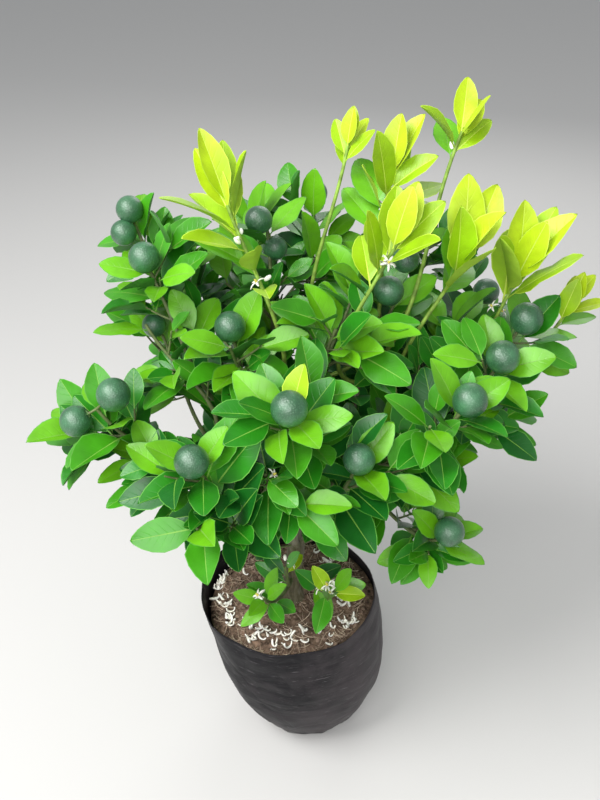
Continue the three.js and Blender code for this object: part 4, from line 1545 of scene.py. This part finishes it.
# %% The blank of a fruit
FRUIT = dict(rings=16, sides=26, body=0.985, dimple=0.07, dimple_width=0.3, navel=0.03, navel_width=0.22)
CALYX = dict(lobes=5, radius=0.27, heights=(0.905, 0.955), waist=0.72, lobe=0.28)


def ball(rings, sides, profile=lambda angle: 1):
    points = [point(0, 0, profile(0))]
    for ring in range(1, rings):
        angle = math.pi * ring / rings
        wide, high = math.sin(angle), math.cos(angle)
        points += [point(wide * math.cos(turn), wide * math.sin(turn), high) * profile(angle)
                   for turn in circle(sides)]
    points.append(point(0, 0, -profile(math.pi)))
    return points, turned_over(pointed(sides, rings - 1))


def fruit_profile(angle):
    stalk_end = FRUIT["dimple"] * math.exp(-(angle / FRUIT["dimple_width"]) ** 2)
    navel = FRUIT["navel"] * math.exp(-((math.pi - angle) / FRUIT["navel_width"]) ** 2)
    return FRUIT["body"] - stalk_end - navel


def calyx_star():
    sides = CALYX["lobes"] * 4
    points = []
    for height in CALYX["heights"]:
        for angle in circle(sides):
            reach = CALYX["radius"] * (CALYX["waist"] + CALYX["lobe"] * math.cos(CALYX["lobes"] * angle))
            points.append(point(reach * math.cos(angle), reach * math.sin(angle), height))
    return points, capped(sides, len(CALYX["heights"]))


def zoned_blank(name, parts):
    mesh = joined_mesh(name, parts, 1)
    face_numbers(mesh, "zone", [zone for zone, (_, faces) in enumerate(parts) for _ in faces])
    mesh.shade_smooth()
    return piece_of(name, mesh)


# %% A tree that sets copies of a blank on points
def copies_tree(name, materials):
    sockets = [("Blank", "Object", None), ("Seed", "Int", 3), ("Spread", "Float", 0.0)]
    growth = Growth(name, sockets, materials)
    given = growth.given
    upright = growth.add("FunctionNodeAlignRotationToVector", {"axis": "Z"}, {
        "Vector": growth.carried("aim", "FLOAT_VECTOR")})
    own_turn = growth.add("ShaderNodeCombineXYZ", inputs={"Z": growth.chance(0.0, FULL_TURN, given["Seed"])})
    turned_copy = growth.add("FunctionNodeRotateRotation", {"rotation_space": "LOCAL"}, {
        "Rotation": upright, "Rotate By": own_turn})
    size = growth.chance(1 - given["Spread"], 1 + given["Spread"], given["Seed"] + 1)
    copies = growth.add("GeometryNodeInstanceOnPoints", inputs={
        "Points": given["Geometry"], "Instance": growth.shape_of("Blank"), "Rotation": turned_copy,
        "Scale": growth.carried("size") * size})
    result = growth.realized(copies)
    zone = growth.carried("zone", "INT")
    for number, title in enumerate(materials):
        result = growth.painted(result, title, growth.compare(zone, number))
    return growth.done(result)


def copies_piece(name, rows, tree, inputs):
    places = [place * MM for place, _, _ in rows]
    numbers = dict(aim=[unit(aim) for _, aim, _ in rows], size=[size * MM for _, _, size in rows])
    return grown_piece(name, numbered_mesh(name, places, numbers), tree, inputs)


fruit_shape = ball(FRUIT["rings"], FRUIT["sides"], fruit_profile)
fruit_blank = zoned_blank("fruit_blank", [fruit_shape, calyx_star()])
fruit_rows = [(fruit["centre"], fruit["tip"] - fruit["centre"], fruit["radius"])
              for grown in shoots_grown for fruit in grown["fruit"]]
fruit_tree = copies_tree("fruit_growth", ["Peel", "Calyx"])
fruit_piece = copies_piece("fruit", fruit_rows, fruit_tree, {
    "Blank": fruit_blank, "Peel": peel, "Calyx": calyx})
forget(fruit_blank)
print("fruit:", len(fruit_rows), "faces:", len(fruit_piece.data.polygons))

# %% [markdown]
# ## Blossom
# Small cream flowers sit among the young leaves and at the foot of the bush. Each has five narrow petals
# that curl back, round a short yellow middle, and a few are still closed buds. Each is a few millimetres
# wide, so a blank with a few dozen faces is enough.


# %% Flowers and buds
FLOWER_SPOTS = [
    ("foot_front", 1.0, 4), ("foot_front", 0.7, 2), ("foot_left", 1.0, 2), ("foot_middle", 1.0, 2),
    ("front_low", 1.0, 1), ("young_left", 0.86, 3), ("young_left", 0.7, 2), ("young_middle", 0.9, 3),
    ("young_tall", 0.88, 3), ("young_tall", 0.7, 2), ("right_young", 0.85, 2), ("young_thin_right", 0.95, 1),
    ("left_tip", 0.55, 1), ("back_left_high", 1.0, 2), ("back_middle", 0.8, 1)]
FLOWER = dict(size=6.8, bud_size=3.2, stand_off=6, open_share=0.6, petals=5)
PETAL = dict(shares=(0, 0.35, 0.7, 1), wide=0.26, thick=0.06)


def petal_strip(turn):
    out, side = point(math.cos(turn), math.sin(turn), 0), point(-math.sin(turn), math.cos(turn), 0)
    points = []
    for share in PETAL["shares"]:
        centre = out * (0.1 + 0.9 * share) + UP * (0.5 * share - 0.62 * share ** 2)
        half = PETAL["wide"] * (0.55 + 0.9 * share - 1.15 * share ** 2)
        points += [centre - side * half, centre + side * half, centre + UP * PETAL["thick"]]
    return points, [face[::-1] for face in capped(3, len(PETAL["shares"]))]


def shifted(part, height, scale):
    return [place * point(*scale) + UP * height for place in part[0]], part[1]


petals = merged([petal_strip(turn) for turn in circle(FLOWER["petals"])])
flower_blank = zoned_blank("flower_blank", [petals, shifted(ball(4, 6), 0.12, (0.16, 0.16, 0.34))])
bud_blank = zoned_blank("bud_blank", [shifted(ball(6, 8), 0.6, (0.55, 0.55, 1.0))])
line_of = {grown["name"]: grown["line"] for grown in shoots_grown}


def blossom_rows():
    dice = Dice(41)
    open_rows, bud_rows = [], []
    for name, share, count in FLOWER_SPOTS:
        line = line_of["shoot_" + name]
        for _ in range(count):
            turn = dice.between(0, 2 * math.pi)
            aim = unit(point(math.cos(turn), math.sin(turn) - 0.35, dice.between(0.3, 1.3)))
            place = line.smooth(share - dice.between(0, 0.06))
            place = place + aim * FLOWER["stand_off"] * dice.between(0.6, 1.5)
            is_open = dice.roll() < FLOWER["open_share"]
            rows, size = (open_rows, FLOWER["size"]) if is_open else (bud_rows, FLOWER["bud_size"])
            rows.append((place, aim, size))
    return open_rows, bud_rows


open_rows, bud_rows = blossom_rows()
flower_tree = copies_tree("flower_growth", ["Petal", "Stamen"])
looks = {"Petal": petal, "Stamen": stamen}
flowers = copies_piece("flowers", open_rows, flower_tree, {"Blank": flower_blank, **looks, "Spread": 0.2})
buds = copies_piece("buds", bud_rows, flower_tree, {"Blank": bud_blank, **looks, "Spread": 0.25})
forget(flower_blank, bud_blank)
print("flowers:", len(open_rows), "buds:", len(bud_rows))

# %% [markdown]
# ## The nursery bag
# The bag is thin black film, filled and stood on the ground. Its wall is one turned skin with a fold over
# the rim. Soft pleats run up from the gathered base, the wall sags between them, and the rim waves.
# Film blown up by physics would fold more freely, but it would not keep to the bag's size.

# %% Film skin
FILM = dict(sides=180, rows=64, inner_foot=8, closer=1.15, thick=0.7, base_inset=3.2, floor=1.2,
            pleats=1.1, gather=26, sag=1.8, crease=0.7, seam_height=9, seam_width=1.1, seam=0.35,
            rim_wave=1.6, rim_drop=0.4)


def noise_around(angle, radius, height):
    return noise.noise(Vector((math.cos(angle) * radius, math.sin(angle) * radius, height)))


def film_wrinkle(angle, z):
    ripples = math.sin(13 * angle + 1.3 * math.sin(2 * angle)) + 0.5 * math.sin(29 * angle + 0.8)
    gather = math.exp(-z / FILM["gather"]) * ripples
    drape = math.sin(math.pi * min(1, z / BAG["height"])) * noise_around(angle, 2.2, z / 60)
    crease = noise_around(angle, 5, z / 14 + 9)
    seam = FILM["seam"] * math.exp(-((z - FILM["seam_height"]) / FILM["seam_width"]) ** 2)
    return gather * FILM["pleats"] * min(1, z / 6) + drape * FILM["sag"] + crease * FILM["crease"] + seam


def rim_height(angle):
    wave = 0.6 * math.sin(3 * angle + 0.8) + 0.4 * math.sin(8 * angle)
    return BAG["height"] + FILM["rim_wave"] * wave - FILM["rim_drop"]


def film_point(angle, z, inset):
    radius = bag_radius(z) - inset + film_wrinkle(angle, z)
    return slumped(radius * math.cos(angle), radius * math.sin(angle), z)


def film_mesh():
    """Up the outside, over the rim and down the inside."""
    sides, rows = FILM["sides"], FILM["rows"]
    rings = [(0, FILM["base_inset"]), *[(row, 0) for row in range(1, rows + 1)],
             *[(row, FILM["thick"]) for row in range(rows, FILM["inner_foot"], -1)]]
    points = [point(0, 0, 0)]
    for row, inset in rings:
        share = (row / rows) ** FILM["closer"]
        points += [film_point(angle, share * rim_height(angle), inset) for angle in circle(sides)]
    points.append(point(0, 0, FILM["floor"]))
    return joined_mesh("bag_film", [(points, pointed(sides, len(rings)))])


bag_piece = piece_of("bag_film", film_mesh(), film)
print("bag faces:", len(bag_piece.data.polygons))

# %% [markdown]
# ## Soil
# The bag is full of dark, fibrous soil that stands a little lower at the rim. A closed bed of soil gets its
# lumps from noise. Loose crumbs and fibres are scattered on its top by a tree, with the fallen petals.
# They break the smooth surface at its edges, where a bump in the finish alone would show none.

# %% The bed of soil
BED = dict(sides=150, rings=58, inset=2.4, wall=(4, 30, 60, 90, 110, 125), sunk=0.4,
           edge_start=48, edge_width=24, lumps=1.5, lump_size=13, clods=0.9, clod_size=4.5)


def lumps_at(x, y, size, seed):
    return noise.noise(Vector((x / size, y / size, seed)))


def soil_height(x, y):
    away = math.hypot(x, y)
    loose = min(1, max(0, (away - SOIL["seat"]) / (SOIL["level_radius"] - SOIL["seat"])))
    drop = SOIL["edge_drop"] * max(0, (away - BED["edge_start"]) / BED["edge_width"]) ** 2
    lumps = lumps_at(x, y, BED["lump_size"], 2) * BED["lumps"]
    rough = lumps + lumps_at(x, y, BED["clod_size"], 7) * BED["clods"]
    return SOIL["level"] - drop + loose * (SOIL["slope"] * x / BAG["belly"] + rough) - BED["sunk"]


def soil_mesh():
    sides, rings = BED["sides"], BED["rings"]
    points = [point(0, 0, BED["wall"][0])]
    for z in BED["wall"]:
        radius = bag_radius(z) - BED["inset"]
        points += [slumped(radius * math.cos(angle), radius * math.sin(angle), z) for angle in circle(sides)]
    for ring in range(rings, 0, -1):
        radius = (BAG["belly"] - BED["inset"]) * ring / rings
        for angle in circle(sides):
            x, y = radius * math.cos(angle), radius * math.sin(angle)
            points.append(slumped(x, y, soil_height(x, y)))
    points.append(slumped(0, 0, soil_height(0, 0)))
    return joined_mesh("soil_bed", [(points, pointed(sides, len(BED["wall"]) + rings))])


soil_piece = piece_of("soil_bed", soil_mesh(), soil)
print("soil faces:", len(soil_piece.data.polygons))


# %% Shapes of crumbs, fibres and petals
def crumb_blank():
    points, faces = ball(5, 7)
    rough = [place * (0.8 + 0.45 * noise.noise(Vector(place * 1.7))) for place in points]
    return zoned_blank("crumb_blank", [(rough, faces)])


def curl_blank(name, turn, wide, thick, steps=7, twist=0.5):
    points = []
    side = unit(point(0.25, 1, 0.1))
    for i in range(steps + 1):
        share = i / steps
        angle = turn * (share - 0.5)
        centre = point(math.sin(angle), twist * (share - 0.5), 1 - math.cos(angle) + 0.15)
        out = point(math.sin(angle), 0, -math.cos(angle))
        half = wide * (0.45 + 2.2 * share * (1 - share))
        points += [centre - side * half, centre + out * thick, centre + side * half, centre - out * thick]
    ends = [tuple(range(4)), tuple(range(steps * 4, steps * 4 + 4))[::-1]]
    return zoned_blank(name, [(points, turned_over(bands(0, 4, steps + 1)) + ends)])


# %% Scatter them on the soil
PETAL_PATCHES = [(-79, 48, 9, 7), (-80, 22, 8, 10), (-74, -4, 8, 9), (-61, -24, 9, 9), (-42, -42, 9, 11),
                 (-22, -50, 9, 11), (-6, -46, 8, 4), (12, -50, 9, 3), (34, -10, 8, 6), (37, -36, 7, 7),
                 (20, -30, 12, 2), (-30, 10, 30, 5), (25, 40, 18, 6)]
WHOLE_BED = (middle_at(SOIL["level"]), 0, BAG["belly"] - 8, 1)
LITTER = {
    "soil_crumbs": dict(patches=[WHOLE_BED] * 1100, sizes=(0.5, 1.9), lift=0.1, edge=7),
    "soil_fibres": dict(patches=[WHOLE_BED] * 620, sizes=(3.0, 8.0), lift=0.3, edge=11.6),
    "fallen_petals": dict(patches=PETAL_PATCHES, sizes=(2.3, 3.9), lift=1.3, edge=9.5),
}


def scattered(dice, patches, sizes, lift, edge):
    rows = []
    mouth, widest = middle_at(BAG["height"]), BAG["belly"] - edge
    for x, y, wide, count in patches:
        for _ in range(count):
            px, py = x + dice.between(-wide, wide), y + dice.between(-wide, wide)
            away = math.hypot(px - mouth, py)
            if away > widest:
                px, py = (px - mouth) * widest / away + mouth, py * widest / away
            aim = unit(point(dice.between(-0.6, 0.6), dice.between(-0.6, 0.6), 1))
            height = soil_height(px - middle_at(SOIL["level"]), py) + lift
            rows.append((point(px, py, height), aim, dice.between(*sizes)))
    return rows


dice = Dice(17)
litter_looks = {
    "soil_crumbs": {"Blank": crumb_blank(), "Look": crumb, "Spread": 0.35, "Seed": 5},
    "soil_fibres": {"Blank": curl_blank("fibre_blank", 1.3, 0.05, 0.05, 6, 0.8), "Look": fibre,
                    "Spread": 0.3, "Seed": 8},
    "fallen_petals": {"Blank": curl_blank("petal_blank", 3.6, 0.4, 0.17), "Look": petal,
                      "Spread": 0.2, "Seed": 11},
}
litter_tree = copies_tree("litter", ["Look"])
litter = {name: copies_piece(name, scattered(dice, **LITTER[name]), litter_tree, look)
          for name, look in litter_looks.items()}
forget(*[look["Blank"] for look in litter_looks.values()])
print("crumbs, fibres, petals:", [len(piece.data.polygons) for piece in litter.values()])

# %% [markdown]
# ## Put every piece in its plain solid's place
# Everything stands in one body, so every piece rides on it. Each names the plain solids that it replaces,
# and these are hidden. Blossom and crumbs are new, so they replace nothing.

# %% Riding and replacing
shoot_groups = {group: [] for group in groups}
for grown in shoots_grown:
    shoot_groups[grown["group"]].append(grown["name"])
young_names = [grown["name"] for grown in shoots_grown if grown["plan"]["young"]]


settled = []


def set_down(piece, slot_name, *nodes):
    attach(piece, BODY)
    if nodes:
        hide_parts(*nodes)
    settled.append(piece.name)


set_down(bag_piece, "film", "bag")
set_down(soil_piece, "soil", "soil")
wood_nodes = [name for name in node_names if name.startswith(("trunk", "bough_", "branch_"))]
set_down(wood_piece, "bark", *wood_nodes)
for group, piece in twig_pieces.items():
    set_down(piece, "bark", *shoot_groups[group])
for name, piece in leaf_pieces.items():
    if name == "leaves_young":
        set_down(piece, "young_leaf", *young_names)
    else:
        group = name.removeprefix("leaves_")
        set_down(piece, "leaf", *[node for node in shoot_groups[group] if node not in young_names])
set_down(fruit_piece, "fruit", *[grown["name"] for grown in shoots_grown if grown["fruit"]])
set_down(flowers, "petal")
set_down(buds, "petal")
for name, piece in litter.items():
    set_down(piece, "petal" if name == "fallen_petals" else "soil")
print("pieces:", settled)

# %% The floor
FLOOR = dict(half=4, drop=0.0005, colour=(0.58, 0.57, 0.55, 1), roughness=0.85)

corners = [(-1, -1), (1, -1), (1, 1), (-1, 1)]
floor_mesh = bpy.data.meshes.new("floor")
floor_mesh.from_pydata([(x * FLOOR["half"], y * FLOOR["half"], 0) for x, y in corners], [], [(0, 1, 2, 3)])
floor_look = Finish("floor", {"Roughness": FLOOR["roughness"], "Base Color": FLOOR["colour"]})
floor = piece_of("floor", floor_mesh, floor_look.material)
floor.location.z = -FLOOR["drop"]
